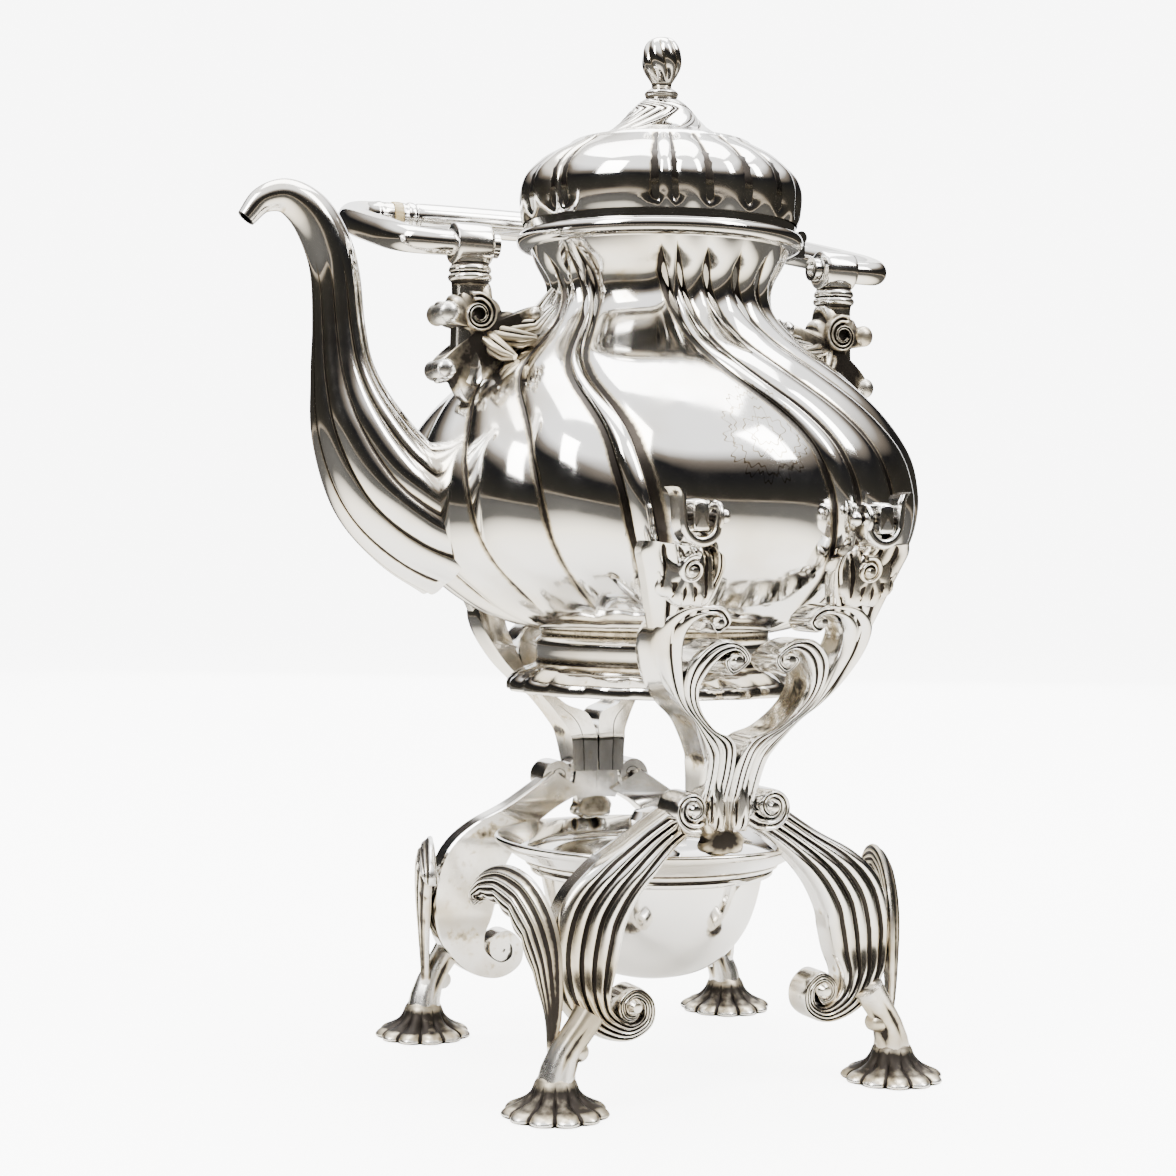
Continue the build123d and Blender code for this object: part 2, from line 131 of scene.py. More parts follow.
def tubePiece(name, path, radii, around=32, relief=None, up=(0, 0, 1)):
    # a closed round bar along a smooth path; radii follow the path's points
    count = len(path)
    up = Vector(up)

    def place(u, w):
        i = min(round(w * (count - 1)), count - 1)
        here = Vector(path[i])
        ahead = Vector(path[min(i + 1, count - 1)]) - Vector(path[max(i - 1, 0)])
        ahead.normalize()
        sideways = ahead.cross(up).normalized()
        upright = sideways.cross(ahead)
        a = 2 * math.pi * u
        r = radii[i] * (1 + (relief(a, i / (count - 1)) if relief else 0))
        return here + sideways * (r * math.cos(a)) + upright * (r * math.sin(a))
    return sheetPiece(name, around, count - 1, place, capped=True)


def joined(name, *pieces):
    # one object from several
    deselectAll()
    for piece in pieces:
        piece.select_set(True)
    bpy.context.view_layer.objects.active = pieces[0]
    if len(pieces) > 1:
        bpy.ops.object.join()
    piece = bpy.context.view_layer.objects.active
    piece.name = name
    return piece


def copyOf(piece, name, turn):
    # a copy with its own mesh, put in place by a matrix; a mirror turns the faces back out
    other = piece.copy()
    other.data = piece.data.copy()
    other.name = name
    bpy.context.scene.collection.objects.link(other)
    other.data.transform(turn)
    if turn.determinant() < 0:
        other.data.flip_normals()
    return other


def cornerTurn(side, end=1):
    # what moves a piece made at the left rear corner to another corner
    turn = Matrix.Scale(-1, 4, (0, 1, 0)) if side > 0 else Matrix.Identity(4)
    return turn @ (Matrix.Scale(-1, 4, (1, 0, 0)) if end < 0 else Matrix.Identity(4))


def discard(*pieces):
    for piece in pieces:
        bpy.data.objects.remove(piece)


def addModifier(piece, kind, **values):
    deselectAll()
    piece.select_set(True)
    bpy.context.view_layer.objects.active = piece
    modifier = piece.modifiers.new(kind.title(), kind)
    for key, value in values.items():
        setattr(modifier, key, value)
    bpy.ops.object.modifier_apply(modifier=modifier.name)


def shadeSmooth(piece, angle=40):
    deselectAll()
    piece.select_set(True)
    bpy.context.view_layer.objects.active = piece
    bpy.ops.object.shade_smooth_by_angle(angle=math.radians(angle))


def markRecesses(piece, reach=3, gain=1.0):
    # a value per point, high where the surface is hollow: tarnish settles there
    mesh = piece.data
    count = len(mesh.vertices)
    co = np.empty(count * 3)
    mesh.vertices.foreach_get("co", co)
    co = co.reshape(-1, 3)
    no = np.empty(count * 3)
    mesh.vertices.foreach_get("normal", no)
    no = no.reshape(-1, 3)
    pairs = np.empty(len(mesh.edges) * 2, dtype=np.int64)
    mesh.edges.foreach_get("vertices", pairs)
    pairs = pairs.reshape(-1, 2)
    a, b = pairs[:, 0], pairs[:, 1]
    degree = np.bincount(pairs.ravel(), minlength=count).clip(1)
    step = co[b] - co[a]
    length = np.linalg.norm(step, axis=1).clip(1e-7)
    bend = np.zeros(count)
    np.add.at(bend, a, np.einsum("ij,ij->i", step, no[a]) / length)
    np.add.at(bend, b, -np.einsum("ij,ij->i", step, no[b]) / length)
    bend /= degree
    for _ in range(reach):
        total = np.zeros(count)
        np.add.at(total, a, bend[b])
        np.add.at(total, b, bend[a])
        bend = 0.5 * bend + 0.5 * total / degree
    value = np.clip(0.5 + gain * bend, 0, 1)
    layer = mesh.attributes.new("recess", "FLOAT", "POINT")
    layer.data.foreach_set("value", value.astype(np.float32))


def finishPiece(piece, material, body, replaced=(), angle=40, reach=3, gain=2.5):
    # material, smooth shading, tarnish marks, and the body it rides on
    piece.data.materials.clear()
    piece.data.materials.append(material)
    shadeSmooth(piece, angle)
    markRecesses(piece, reach, gain)
    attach(piece, body)
    if replaced:
        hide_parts(*replaced)
    return piece


# materials

def shaderGroup(name, inputs, outputs):
    group = bpy.data.node_groups.new(name, "ShaderNodeTree")
    for label, kind, value in inputs:
        socket = group.interface.new_socket(name=label, in_out="INPUT", socket_type=kind)
        if value is not None:
            socket.default_value = value
    for label, kind in outputs:
        group.interface.new_socket(name=label, in_out="OUTPUT", socket_type=kind)
    return group, group.nodes.new("NodeGroupInput"), group.nodes.new("NodeGroupOutput")


def addNode(tree, kind, links=(), **values):
    # a node with its properties and constant inputs set, and its linked inputs joined
    node = tree.nodes.new(kind)
    for key, value in values.items():
        if key.startswith("in_"):
            socket = key[3:]
            socket = int(socket) if socket.isdigit() else socket.replace("_", " ")
            node.inputs[socket].default_value = value
        else:
            setattr(node, key, value)
    for socket, source in links:
        tree.links.new(source, node.inputs[socket])
    return node


def tarnishGroup():
    # darkening that gathers in hollows and drifts in soft clouds over the open surface
    group, given, result = shaderGroup("silverTarnish", [
        ("Hollow Start", "NodeSocketFloat", 0.52), ("Hollow End", "NodeSocketFloat", 0.75),
        ("Cloud Amount", "NodeSocketFloat", 0.2), ("Cloud Scale", "NodeSocketFloat", 30.0)],
        [("Tarnish", "NodeSocketFloat")])
    coords = addNode(group, "ShaderNodeTexCoord")
    hollow = addNode(group, "ShaderNodeAttribute", attribute_name="recess")
    grime = addNode(group, "ShaderNodeTexNoise", [("Vector", coords.outputs["Object"])],
                    in_Scale=420.0, in_Detail=4.0)
    wobble = addNode(group, "ShaderNodeMath", [(0, grime.outputs["Fac"])], operation="MULTIPLY_ADD",
                     in_1=0.10, in_2=-0.05)
    value = addNode(group, "ShaderNodeMath", [(0, hollow.outputs["Fac"]), (1, wobble.outputs[0])],
                    operation="ADD")
    settled = addNode(group, "ShaderNodeMapRange", [
        ("Value", value.outputs[0]), ("From Min", given.outputs["Hollow Start"]),
        ("From Max", given.outputs["Hollow End"])], interpolation_type="SMOOTHSTEP")
    clouds = addNode(group, "ShaderNodeTexNoise", [
        ("Vector", coords.outputs["Object"]), ("Scale", given.outputs["Cloud Scale"])], in_Detail=5.0)
    drift = addNode(group, "ShaderNodeMapRange", [("Value", clouds.outputs["Fac"])],
                    interpolation_type="SMOOTHSTEP", in_1=0.45, in_2=0.75)
    veil = addNode(group, "ShaderNodeMath", [(0, drift.outputs[0]), (1, given.outputs["Cloud Amount"])],
                   operation="MULTIPLY")
    both = addNode(group, "ShaderNodeMath", [(0, settled.outputs[0]), (1, veil.outputs[0])],
                   operation="ADD", use_clamp=True)
    group.links.new(both.outputs[0], result.inputs["Tarnish"])
    return group


def wearGroup():
    # fine polishing scratches and faint hammer waves, as a height and a roughness
    group, given, result = shaderGroup("silverWear", [
        ("Scratch Scale", "NodeSocketFloat", 900.0), ("Wave Scale", "NodeSocketFloat", 60.0),
        ("Base Roughness", "NodeSocketFloat", 0.1), ("Roughness Range", "NodeSocketFloat", 0.1)],
        [("Height", "NodeSocketFloat"), ("Roughness", "NodeSocketFloat")])
    coords = addNode(group, "ShaderNodeTexCoord")
    stretch = addNode(group, "ShaderNodeMapping", [("Vector", coords.outputs["Object"])])
    stretch.inputs["Scale"].default_value = (1.0, 1.0, 0.12)
    stretch.inputs["Rotation"].default_value = (0.4, 0.3, 0.2)
    lines = addNode(group, "ShaderNodeTexNoise", [
        ("Vector", stretch.outputs[0]), ("Scale", given.outputs["Scratch Scale"])], in_Detail=2.0)
    waves = addNode(group, "ShaderNodeTexNoise", [
        ("Vector", coords.outputs["Object"]), ("Scale", given.outputs["Wave Scale"])], in_Detail=1.0)
    fine = addNode(group, "ShaderNodeMath", [(0, lines.outputs["Fac"])], operation="MULTIPLY", in_1=0.05)
    height = addNode(group, "ShaderNodeMath", [(0, waves.outputs["Fac"]), (1, fine.outputs[0])],
                     operation="ADD")
    smudges = addNode(group, "ShaderNodeTexNoise", [("Vector", coords.outputs["Object"])],
                      in_Scale=85.0, in_Detail=6.0, in_Roughness=0.65)
    lifted = addNode(group, "ShaderNodeMapRange", [("Value", smudges.outputs["Fac"])], in_1=0.35, in_2=0.8)
    extra = addNode(group, "ShaderNodeMath", [
        (0, lifted.outputs[0]), (1, given.outputs["Roughness Range"])], operation="MULTIPLY")
    rough = addNode(group, "ShaderNodeMath", [(0, extra.outputs[0]), (1, given.outputs["Base Roughness"])],
                    operation="ADD", use_clamp=True)
    group.links.new(height.outputs[0], result.inputs["Height"])
    group.links.new(rough.outputs[0], result.inputs["Roughness"])
    return group


wreath = {
    # where the engraving's middle is, and how far each line of it wanders
    "angle": math.radians(267), "z": 0.242, "radius": 0.098,
    "lines": [(0.0150, 0.0016, 14, 0.00042), (0.0126, 0.0012, -9, 0.00036), (0.0072, 0.0015, 5, 0.00040),
              (0.0042, 0.0010, -3, 0.00034)],
}


def wreathGroup():
    # an engraved wreath of wandering rings, drawn on the belly by angle and height
    group, given, result = shaderGroup("engravedWreath", [("Depth", "NodeSocketFloat", 1.0)],
                                       [("Mask", "NodeSocketFloat")])

    def maths(operation, *sources):
        node = addNode(group, "ShaderNodeMath", operation=operation)
        for i, source in enumerate(sources):
            if isinstance(source, (int, float)):
                node.inputs[i].default_value = source
            else:
                group.links.new(source, node.inputs[i])
        return node.outputs[0]
    coords = addNode(group, "ShaderNodeTexCoord")
    parts = addNode(group, "ShaderNodeSeparateXYZ", [(0, coords.outputs["Object"])])
    turn = Vector((math.cos(wreath["angle"]), math.sin(wreath["angle"])))
    facing = maths("ADD", maths("MULTIPLY", parts.outputs[0], turn.x),
                   maths("MULTIPLY", parts.outputs[1], turn.y))
    sideways = maths("ADD", maths("MULTIPLY", parts.outputs[0], -turn.y),
                     maths("MULTIPLY", parts.outputs[1], turn.x))
    across = maths("MULTIPLY", maths("ARCTAN2", sideways, facing), wreath["radius"])
    high = maths("MULTIPLY", maths("SUBTRACT", parts.outputs[2], wreath["z"]), 0.92)
    span = maths("SQRT", maths("ADD", maths("MULTIPLY", across, across), maths("MULTIPLY", high, high)))
    bearing = maths("ARCTAN2", high, across)
    total = None
    for radius, wander, petals, width in wreath["lines"]:
        wave = maths("SINE", maths("MULTIPLY", bearing, petals))
        ripple = maths("SINE", maths("MULTIPLY", bearing, 3 * petals))
        wave = maths("ADD", wave, maths("MULTIPLY", ripple, 0.5))
        target = maths("ADD", maths("MULTIPLY", wave, wander), radius)
        away = maths("ABSOLUTE", maths("SUBTRACT", span, target))
        line = maths("SUBTRACT", 1.0, maths("DIVIDE", away, width))
        line = maths("MAXIMUM", line, 0.0)
        total = line if total is None else maths("MAXIMUM", total, line)
    worn = addNode(group, "ShaderNodeTexNoise", [("Vector", coords.outputs["Object"])], in_Scale=320.0)
    total = maths("MULTIPLY", total, maths("MULTIPLY", worn.outputs["Fac"], 1.7))
    group.links.new(maths("MULTIPLY", total, given.outputs["Depth"]), result.inputs["Mask"])
    return group


def addBump(tree, shader, height, strength, distance):
    bump = addNode(tree, "ShaderNodeBump", [("Height", height)], in_Strength=strength, in_Distance=distance)
    tree.links.new(bump.outputs[0], shader.inputs["Normal"])


def newMaterial(name, slot):
    material = bpy.data.materials.new(name)
    material.use_nodes = True
    material.node_tree.nodes.clear()
    material["slot"] = slot
    tree = material.node_tree
    shader = addNode(tree, "ShaderNodeBsdfPrincipled")
    output = addNode(tree, "ShaderNodeOutputMaterial")
    tree.links.new(shader.outputs[0], output.inputs["Surface"])
    return material, tree, shader


silverLook = {
    "clean": (0.95, 0.94, 0.92, 1), "warm": (0.66, 0.58, 0.44, 1), "black": (0.035, 0.03, 0.026, 1),
    "bumpDistance": 0.0004, "bumpStrength": 0.05,
}


def silverMaterial(name, slot, groups, hollow=(0.54, 0.72), cloud=0.15, rough=(0.06, 0.10), motif=None):
    material, tree, shader = newMaterial(name, slot)
    shader.inputs["Metallic"].default_value = 1.0
    tarnish = addNode(tree, "ShaderNodeGroup", node_tree=groups["tarnish"])
    tarnish.inputs["Hollow Start"].default_value = hollow[0]
    tarnish.inputs["Hollow End"].default_value = hollow[1]
    tarnish.inputs["Cloud Amount"].default_value = cloud
    tarnish.inputs["Cloud Scale"].default_value = 22.0
    wear = addNode(tree, "ShaderNodeGroup", node_tree=groups["wear"])
    wear.inputs["Base Roughness"].default_value = rough[0]
    wear.inputs["Roughness Range"].default_value = rough[1]
    darkening = tarnish.outputs[0]
    if motif:
        cut = addNode(tree, "ShaderNodeGroup", node_tree=motif)
        darkening = addNode(tree, "ShaderNodeMath", [(0, tarnish.outputs[0]), (1, cut.outputs[0])],
                            operation="MAXIMUM").outputs[0]
    ramp = addNode(tree, "ShaderNodeValToRGB", [(0, darkening)])
    ramp.color_ramp.elements[0].color = silverLook["clean"]
    ramp.color_ramp.elements[1].color = silverLook["black"]
    middle = ramp.color_ramp.elements.new(0.35)
    middle.color = silverLook["warm"]
    tree.links.new(ramp.outputs[0], shader.inputs["Base Color"])
    dull = addNode(tree, "ShaderNodeMath", [(0, tarnish.outputs[0]), (2, wear.outputs["Roughness"])],
                   operation="MULTIPLY_ADD", in_1=0.28, use_clamp=True)
    tree.links.new(dull.outputs[0], shader.inputs["Roughness"])
    addBump(tree, shader, wear.outputs["Height"], silverLook["bumpStrength"], silverLook["bumpDistance"])
    return material


def ivoryMaterial():
    material, tree, shader = newMaterial("agedIvory", "ivory")
    coords = addNode(tree, "ShaderNodeTexCoord")
    grain = addNode(tree, "ShaderNodeMapping", [("Vector", coords.outputs["Object"])])
    grain.inputs["Scale"].default_value = (0.15, 1.0, 1.0)
    streaks = addNode(tree, "ShaderNodeTexNoise", [("Vector", grain.outputs[0])], in_Scale=700.0,
                      in_Detail=5.0)
    ramp = addNode(tree, "ShaderNodeValToRGB", [(0, streaks.outputs["Fac"])])
    ramp.color_ramp.elements[0].position = 0.3
    ramp.color_ramp.elements[0].color = (0.42, 0.30, 0.12, 1)
    ramp.color_ramp.elements[1].position = 0.7
    ramp.color_ramp.elements[1].color = (0.72, 0.62, 0.38, 1)
    tree.links.new(ramp.outputs[0], shader.inputs["Base Color"])
    shader.inputs["Roughness"].default_value = 0.32
    addBump(tree, shader, streaks.outputs["Fac"], 0.2, 0.0002)
    return material


def cottonMaterial():
    material, tree, shader = newMaterial("wickCotton", "cotton")
    coords = addNode(tree, "ShaderNodeTexCoord")
    braid = addNode(tree, "ShaderNodeTexWave", [("Vector", coords.outputs["Object"])], in_Scale=260.0,
                    in_Distortion=2.0)
    braid.bands_direction = "DIAGONAL"
    height = addNode(tree, "ShaderNodeSeparateXYZ", [(0, coords.outputs["Object"])])
    char = addNode(tree, "ShaderNodeMapRange", [("Value", height.outputs["Z"])], in_1=0.088, in_2=0.0935)
    ramp = addNode(tree, "ShaderNodeValToRGB", [(0, char.outputs[0])])
    ramp.color_ramp.elements[0].color = (0.60, 0.55, 0.45, 1)
    ramp.color_ramp.elements[1].color = (0.03, 0.025, 0.02, 1)
    tree.links.new(ramp.outputs[0], shader.inputs["Base Color"])
    shader.inputs["Roughness"].default_value = 0.95
    addBump(tree, shader, braid.outputs["Fac"], 0.8, 0.0004)
    return material


groups = {"tarnish": tarnishGroup(), "wear": wearGroup()}
polished = silverMaterial("polishedSilver", "polished_silver", groups, cloud=0.22)
engraved = silverMaterial("engravedSilver", "polished_silver", groups, cloud=0.22, motif=wreathGroup())
castSilver = silverMaterial("castSilver", "cast_silver", groups, hollow=(0.50, 0.57), cloud=0.40,
                            rough=(0.10, 0.12))
blackened = silverMaterial("blackenedSilver", "cast_silver", groups, hollow=(0.30, 0.515), cloud=0.6,
                           rough=(0.20, 0.16))
ivory = ivoryMaterial()
cotton = cottonMaterial()
say("materials made")


# kettle body

kettle = {
    "outline": [(0, 166.5), (25, 167), (47, 168.5), (70, 176), (88.5, 189), (98, 201), (101.8, 214),
                (101.5, 226), (97.5, 239), (86.5, 254.5), (73, 267.5), (55, 281), (45.5, 292),
                (44.2, 302), (49, 312), (52, 321.6)],
    # where one panel ends and the next begins, in degrees round each half of the body
    "creases": [0, 41, 48, 62, 80, 99, 118, 138.4, 157, 175, 180],
    "start": 242.4, "perPanel": 13, "rows": 120, "wall": 3.2, "floor": 169.5, "brim": 322,
    "twist": [(160, 9), (172, 8), (185, 5), (200, 2), (220, 0), (246, -5.6), (271, -24), (308, -39),
              (340, -42), (400, -42)],
    "depth": 3.0,
}


def twistAt(z, spread=9):
    # the table's turn at a height, eased over its corners
    heights, turns = zip(*kettle["twist"])
    return float(np.mean(np.interp(np.linspace(z - spread, z + spread, 9), heights, turns)))


def panelHeight(start, end, t):
    # cross-section of one panel between two creases, 0 at the creases and 1 at its crown
    edge = abs(2 * t - 1)
    if end - start > 30:
        return 1 - edge ** 5
    if end - start < 9:
        return 0.8 * (1 - edge ** 2)
    return 1 - edge ** 2


def panelAt(u):
    # angle round the body, before the twist, and the panel's height there
    creases = kettle["creases"]
    panels = 2 * (len(creases) - 1)
    x = min(u, 1.0) * panels
    i = min(int(x + 1e-9), panels - 1)
    half, k = divmod(i, panels // 2)
    t = x - i
    start, end = creases[k], creases[k + 1]
    return half * 180 + start + (end - start) * t, panelHeight(start, end, t)


def flutedPoint(u, r, z, depth):
    turn, height = panelAt(u)
    a = math.radians(kettle["start"] + turn + twistAt(z))
    r = r - depth * (1 - height)
    return r * math.cos(a), r * math.sin(a), z


def makeKettleBody():
    outer = evenLine(smoothLine(kettle["outline"], 8), kettle["rows"])
    outer[0][0] = 0
    floor, brim = kettle["floor"], kettle["brim"]
    inner = [(max(r - kettle["wall"], 0), min(max(z, floor), brim)) for r, z in outer[::-6]]
    inner[-1] = (0, floor)
    line = np.vstack([outer, [(51.4, brim)], inner])
    rows = len(line) - 1
    columns = 2 * (len(kettle["creases"]) - 1) * kettle["perPanel"]

    def place(u, w):
        i = round(w * rows)
        r, z = line[i]
        fade = smoothStep(168, 186, z) * (1 - smoothStep(304, 318, z)) if i < len(outer) else 0
        return flutedPoint(u, r, z, kettle["depth"] * fade)
    piece = sheetPiece("kettleBody", columns, rows, place)
    return finishPiece(piece, engraved, "kettle", ["kettle_body"], angle=24, gain=4.5)


def makeCollar():
    outline = [(50.5, 316.2), (53.5, 316.4), (55.4, 317.6), (56, 319.6), (55.4, 321.6), (53.6, 322.8),
               (50.5, 323)]
    line = smoothLine(outline, 4)

    def place(u, w):
        r, z = line[round(w * (len(line) - 1))]
        a = 2 * math.pi * u
        return r * math.cos(a), r * math.sin(a), z
    ring = sheetPiece("collarRing", 128, len(line) - 1, place)
    addModifier(ring, "SOLIDIFY", thickness=0.0004, offset=-1)
    return finishPiece(ring, polished, "kettle", ["neck_collar"])


footRing = {
    "outline": [(38, 172), (46, 172), (44.7, 168), (44.9, 166), (46.5, 164.4), (46.8, 162), (46.2, 157),
                (47.6, 155), (52, 153.2), (55.5, 151), (57.7, 148.6), (57.9, 145.2), (56, 145), (55.2, 147.2),
                (50, 150.6), (45, 153), (40, 160), (38, 166), (38, 171.9)],
    "lobes": 20,
}


def makeFoot():
    def relief(a, r, z, w):
        skirt = 1 - smoothStep(150, 157, z)
        lobe = abs(math.sin(a * footRing["lobes"] / 2 + (z - 150) * 0.03))
        return -1.7 * skirt * (1 - lobe) * (1 if r > 48 else 0)
    piece = turnedPiece("kettleFoot", footRing["outline"], 320, relief, smooth=4)
    return finishPiece(piece, polished, "kettle", ["kettle_foot"], gain=3.0)


makeKettleBody()
makeCollar()
makeFoot()
say("kettle body made")


# spout

spout = {
    # centre x, z and half width of each section, from the body to the lip
    "sections": [(-84, 204, 25), (-99, 212, 24), (-113, 225, 22.5), (-123.5, 244, 17.8),
                 (-129, 263, 12.4), (-130.8, 280, 10), (-132.2, 298, 9.3), (-135.5, 310, 8.9),
                 (-142, 321, 8.2), (-151, 326.5, 6.6), (-160, 324.5, 4.9), (-166.2, 317.5, 3.6)],
    "flutes": 11, "swirl": 1.6, "steps": 9, "around": 132,
}


def makeSpout():
    line = smoothLine(spout["sections"], spout["steps"])
    count = len(line)
    back = list(range(count - 1, count // 2, -3))
    order = [(i, 0.0) for i in range(count)] + [(i, 0.9) for i in back]
    rows = len(order) + 1

    def place(u, w):
        k = min(max(round(w * rows) - 1, 0), len(order) - 1)
        i, wall = order[k]
        x, z, r = line[i]
        ahead = line[min(i + 1, count - 1)] - line[max(i - 1, 0)]
        run = math.hypot(ahead[0], ahead[1])
        ux, uz = -ahead[1] / run, ahead[0] / run
        a = 2 * math.pi * u
        part = i / (count - 1)
        if round(w * rows) in (0, rows):
            return x, 0, z
        a += spout["swirl"] * part * (1 - 0.5 * part)
        ridge = 1 - abs(math.sin(spout["flutes"] * math.pi * u))
        depth = 1.5 * (1 - smoothStep(0.45, 0.66, part)) * (r / 24)
        r -= 0.12 + wall + (depth * ridge ** 1.3 if not wall else 0)
        return x + ux * r * math.cos(a), r * math.sin(a), z + uz * r * math.cos(a)
    piece = sheetPiece("spoutHorn", spout["around"], rows, place)
    return finishPiece(piece, polished, "kettle", ["spout"], angle=30, gain=4.5)


makeSpout()
say("spout made")


# lid and finial

lid = {
    "outline": [(53.6, 326), (54.8, 330), (55.4, 337), (54.6, 341.5), (52.4, 345.6), (46.7, 351),
                (41, 354.4), (36.4, 356.8), (35.2, 358), (34, 358.2), (28, 359.8), (22, 361.9),
                (16.6, 366), (10.9, 372.4), (6.3, 375.8), (3.2, 376.2)],
    "rows": 84,
}


def makeLid():
    outer = evenLine(smoothLine(lid["outline"], 6), lid["rows"])
    inner = [(max(r - 1.3, 3.1), z - 1.2 if r < 50 else max(z, 326)) for r, z in outer[::-5]]
    line = np.vstack([outer, inner, outer[:1]])
    rows = len(line) - 1
    columns = 2 * (len(kettle["creases"]) - 1) * kettle["perPanel"]

    def place(u, w):
        i = round(w * rows)
        r, z = line[i]
        if i >= len(outer):
            return flutedPoint(u, r, z, 0)
        panels = smoothStep(326, 331, z) * (1 - smoothStep(354.5, 357.5, z))
        cone = smoothStep(358.5, 361, z) * (1 - smoothStep(370, 375, z))
        turn, height = panelAt(u)
        a = math.radians(kettle["start"] + turn + twistAt(z) + cone * (z - 358) * 6)
        r -= 2.2 * (1 - height) * panels + 0.8 * (1 - height) * cone
        return r * math.cos(a), r * math.sin(a), z
    piece = sheetPiece("lidDome", columns, rows, place)
    return finishPiece(piece, polished, "lid", ["lid_dome"], angle=24, gain=4.5)


finialLook = {
    "outline": [(0, 374), (5.4, 375.2), (6.2, 376.6), (6.6, 378), (5.4, 379.2), (4.1, 380), (3.9, 381.4),
                (4.6, 382.8), (6.4, 385.6), (7.7, 388.6), (7.9, 391.8), (7.3, 395.2), (5.7, 398),
                (3.2, 399.5), (0, 399.9)],
}


def makeFinial():
    def relief(a, r, z, w):
        bud = smoothStep(382, 386, z) * (1 - smoothStep(397, 400, z))
        return -0.9 * bud * (1 - abs(math.sin(4 * a + (z - 382) * 0.16)))
    piece = turnedPiece("finialBud", finialLook["outline"], 128, relief, smooth=5)
    return finishPiece(piece, polished, "lid", ["finial"], gain=3.0)


makeLid()
makeFinial()
say("lid made")


# handle

bail = {
    "pivotZ": 314, "rest": math.radians(13.5), "arm": 5.8, "gripReach": 99,
    "path": [(84, 0), (89, 0), (96, 0.8), (101.6, 4.8), (104, 12.5), (104.9, 26), (105.2, 44), (104.6, 58),
             (102.8, 70), (99.8, 81), (96, 89), (91, 95.2), (85.4, 98.3), (80, 99), (77.1, 99)],
}


def bailPoint(x, reach, rise=0.0):
    # a point of the handle, given as if it lay flat towards +Y
    c, s = math.cos(bail["rest"]), math.sin(bail["rest"])
    return x, reach * c - rise * s, bail["pivotZ"] + reach * s + rise * c


def makeBailArm():
    flat = evenLine(smoothLine(bail["path"], 8), 120)
    path = [bailPoint(x, y) for x, y in flat]
    radii = []
    for k in range(len(path)):
        t = k / (len(path) - 1)
        # slimmer at the pivot, with a small collar before the ivory
        r = bail["arm"] * (0.8 + 0.2 * smoothStep(0.02, 0.3, t))
        radii.append(r + 0.35 * math.exp(-((t - 0.955) / 0.008) ** 2))
    return tubePiece("arm", path, radii, 36)


def alongBail(name, outline, around, relief=None):
    # a turned piece laid along the grip's own line
    piece = turnedPiece(name, outline, around, relief, smooth=5)
    turn = (Matrix.Translation(Vector(bailPoint(0, bail["gripReach"])) * mm)
            @ Matrix.Rotation(math.radians(90), 4, "Y"))
    piece.data.transform(turn)
    return piece


def makeBail():
    arm = makeBailArm()
    disc = alongBail("insulator", [(0, 73.05), (5.5, 73.05), (6.2, 73.5), (6.3, 74.4), (6.3, 75.6),
                                   (6.2, 76.5), (5.5, 76.95), (0, 76.95)], 64)
    for label, end in ends.items():
        turn = cornerTurn(-1, end)
        finishPiece(copyOf(arm, label + "BailArm", turn), polished, "handle", [label + "_bail_arm"])
        finishPiece(copyOf(disc, label + "Insulator", turn), ivory, "handle", [label + "_bail_insulator"])
    discard(arm, disc)

    half = [(6.3, 0), (6.4, 25), (6.45, 50), (6.3, 64), (5.9, 66.4), (5.9, 67), (6.35, 67.8), (6.45, 68.8),
            (6.35, 69.8), (5.9, 70.6), (6.0, 71.6), (6.1, 72.6), (5.4, 72.95), (0, 72.95)]
    outline = [(r, -z) for r, z in half[::-1]] + half[1:]
    grip = alongBail("bailGrip", outline, 84)
    finishPiece(grip, polished, "handle", ["bail_grip"])


makeBail()
say("handle made")


# bands and scrolls

def bandPiece(name, outerEdge, innerEdge, frontAt, depth, reeds, relief=1.0, length=110, across=64):
    # a reeded bar between two edge lines drawn in x, z; frontAt gives its front's y
    # both edges are walked together, so the inner one keeps the outer one's spacing
    paired = smoothLine([(*o, *i) for o, i in zip(outerEdge, innerEdge)], 8)
    gaps = np.linalg.norm(np.diff(paired[:, :2], axis=0), axis=1)
    far = np.concatenate([[0], np.cumsum(gaps)])
    want = np.linspace(0, far[-1], length)
    both = np.array([[np.interp(w, far, paired[:, k]) for k in range(4)] for w in want])
    top = 0.5
    marks = [0, top, top + 0.1, 0.9, 1]

    def place(u, w):
        i = min(round(w * (length - 1)), length - 1)
        ox, oz, ix, iz = both[i]
        back = depth(0.5 * (oz + iz)) if callable(depth) else depth
        if u <= marks[1]:
            q, d = 1 - u / top, 0.0
            d = relief * (1 - abs(math.sin(reeds * math.pi * q)) ** 0.8)
            d += 1.6 * abs(2 * q - 1) ** 6
        elif u <= marks[2]:
            q, d = 0.0, back * (u - marks[1]) / (marks[2] - marks[1])
            d = max(d, relief + 1.6)
        elif u <= marks[3]:
            q, d = (u - marks[2]) / (marks[3] - marks[2]), back
        else:
            q, d = 1.0, back * (1 - (u - marks[3]) / (marks[4] - marks[3]))
            d = max(d, relief + 1.6)
        x, z = ix + (ox - ix) * q, iz + (oz - iz) * q
        return x, frontAt(z) + d, z
    return sheetPiece(name, across, length - 1, place, capped=True)


def eyeBall(name, x, z, r, frontAt, depth, bulge=1.0):
    # the round button in the middle of a scroll
    outline = [(0, -depth), (r * 0.92, -depth), (r, -depth + 0.6), (r, -0.8), (r * 0.86, 0.2),
               (r * 0.5, bulge * 0.85), (0, bulge)]
    piece = turnedPiece(name, outline, 40)
    y = frontAt(z)
    piece.data.transform(Matrix.Translation(Vector((x, y, z)) * mm)
                         @ Matrix.Rotation(math.radians(90), 4, "X"))
    return piece


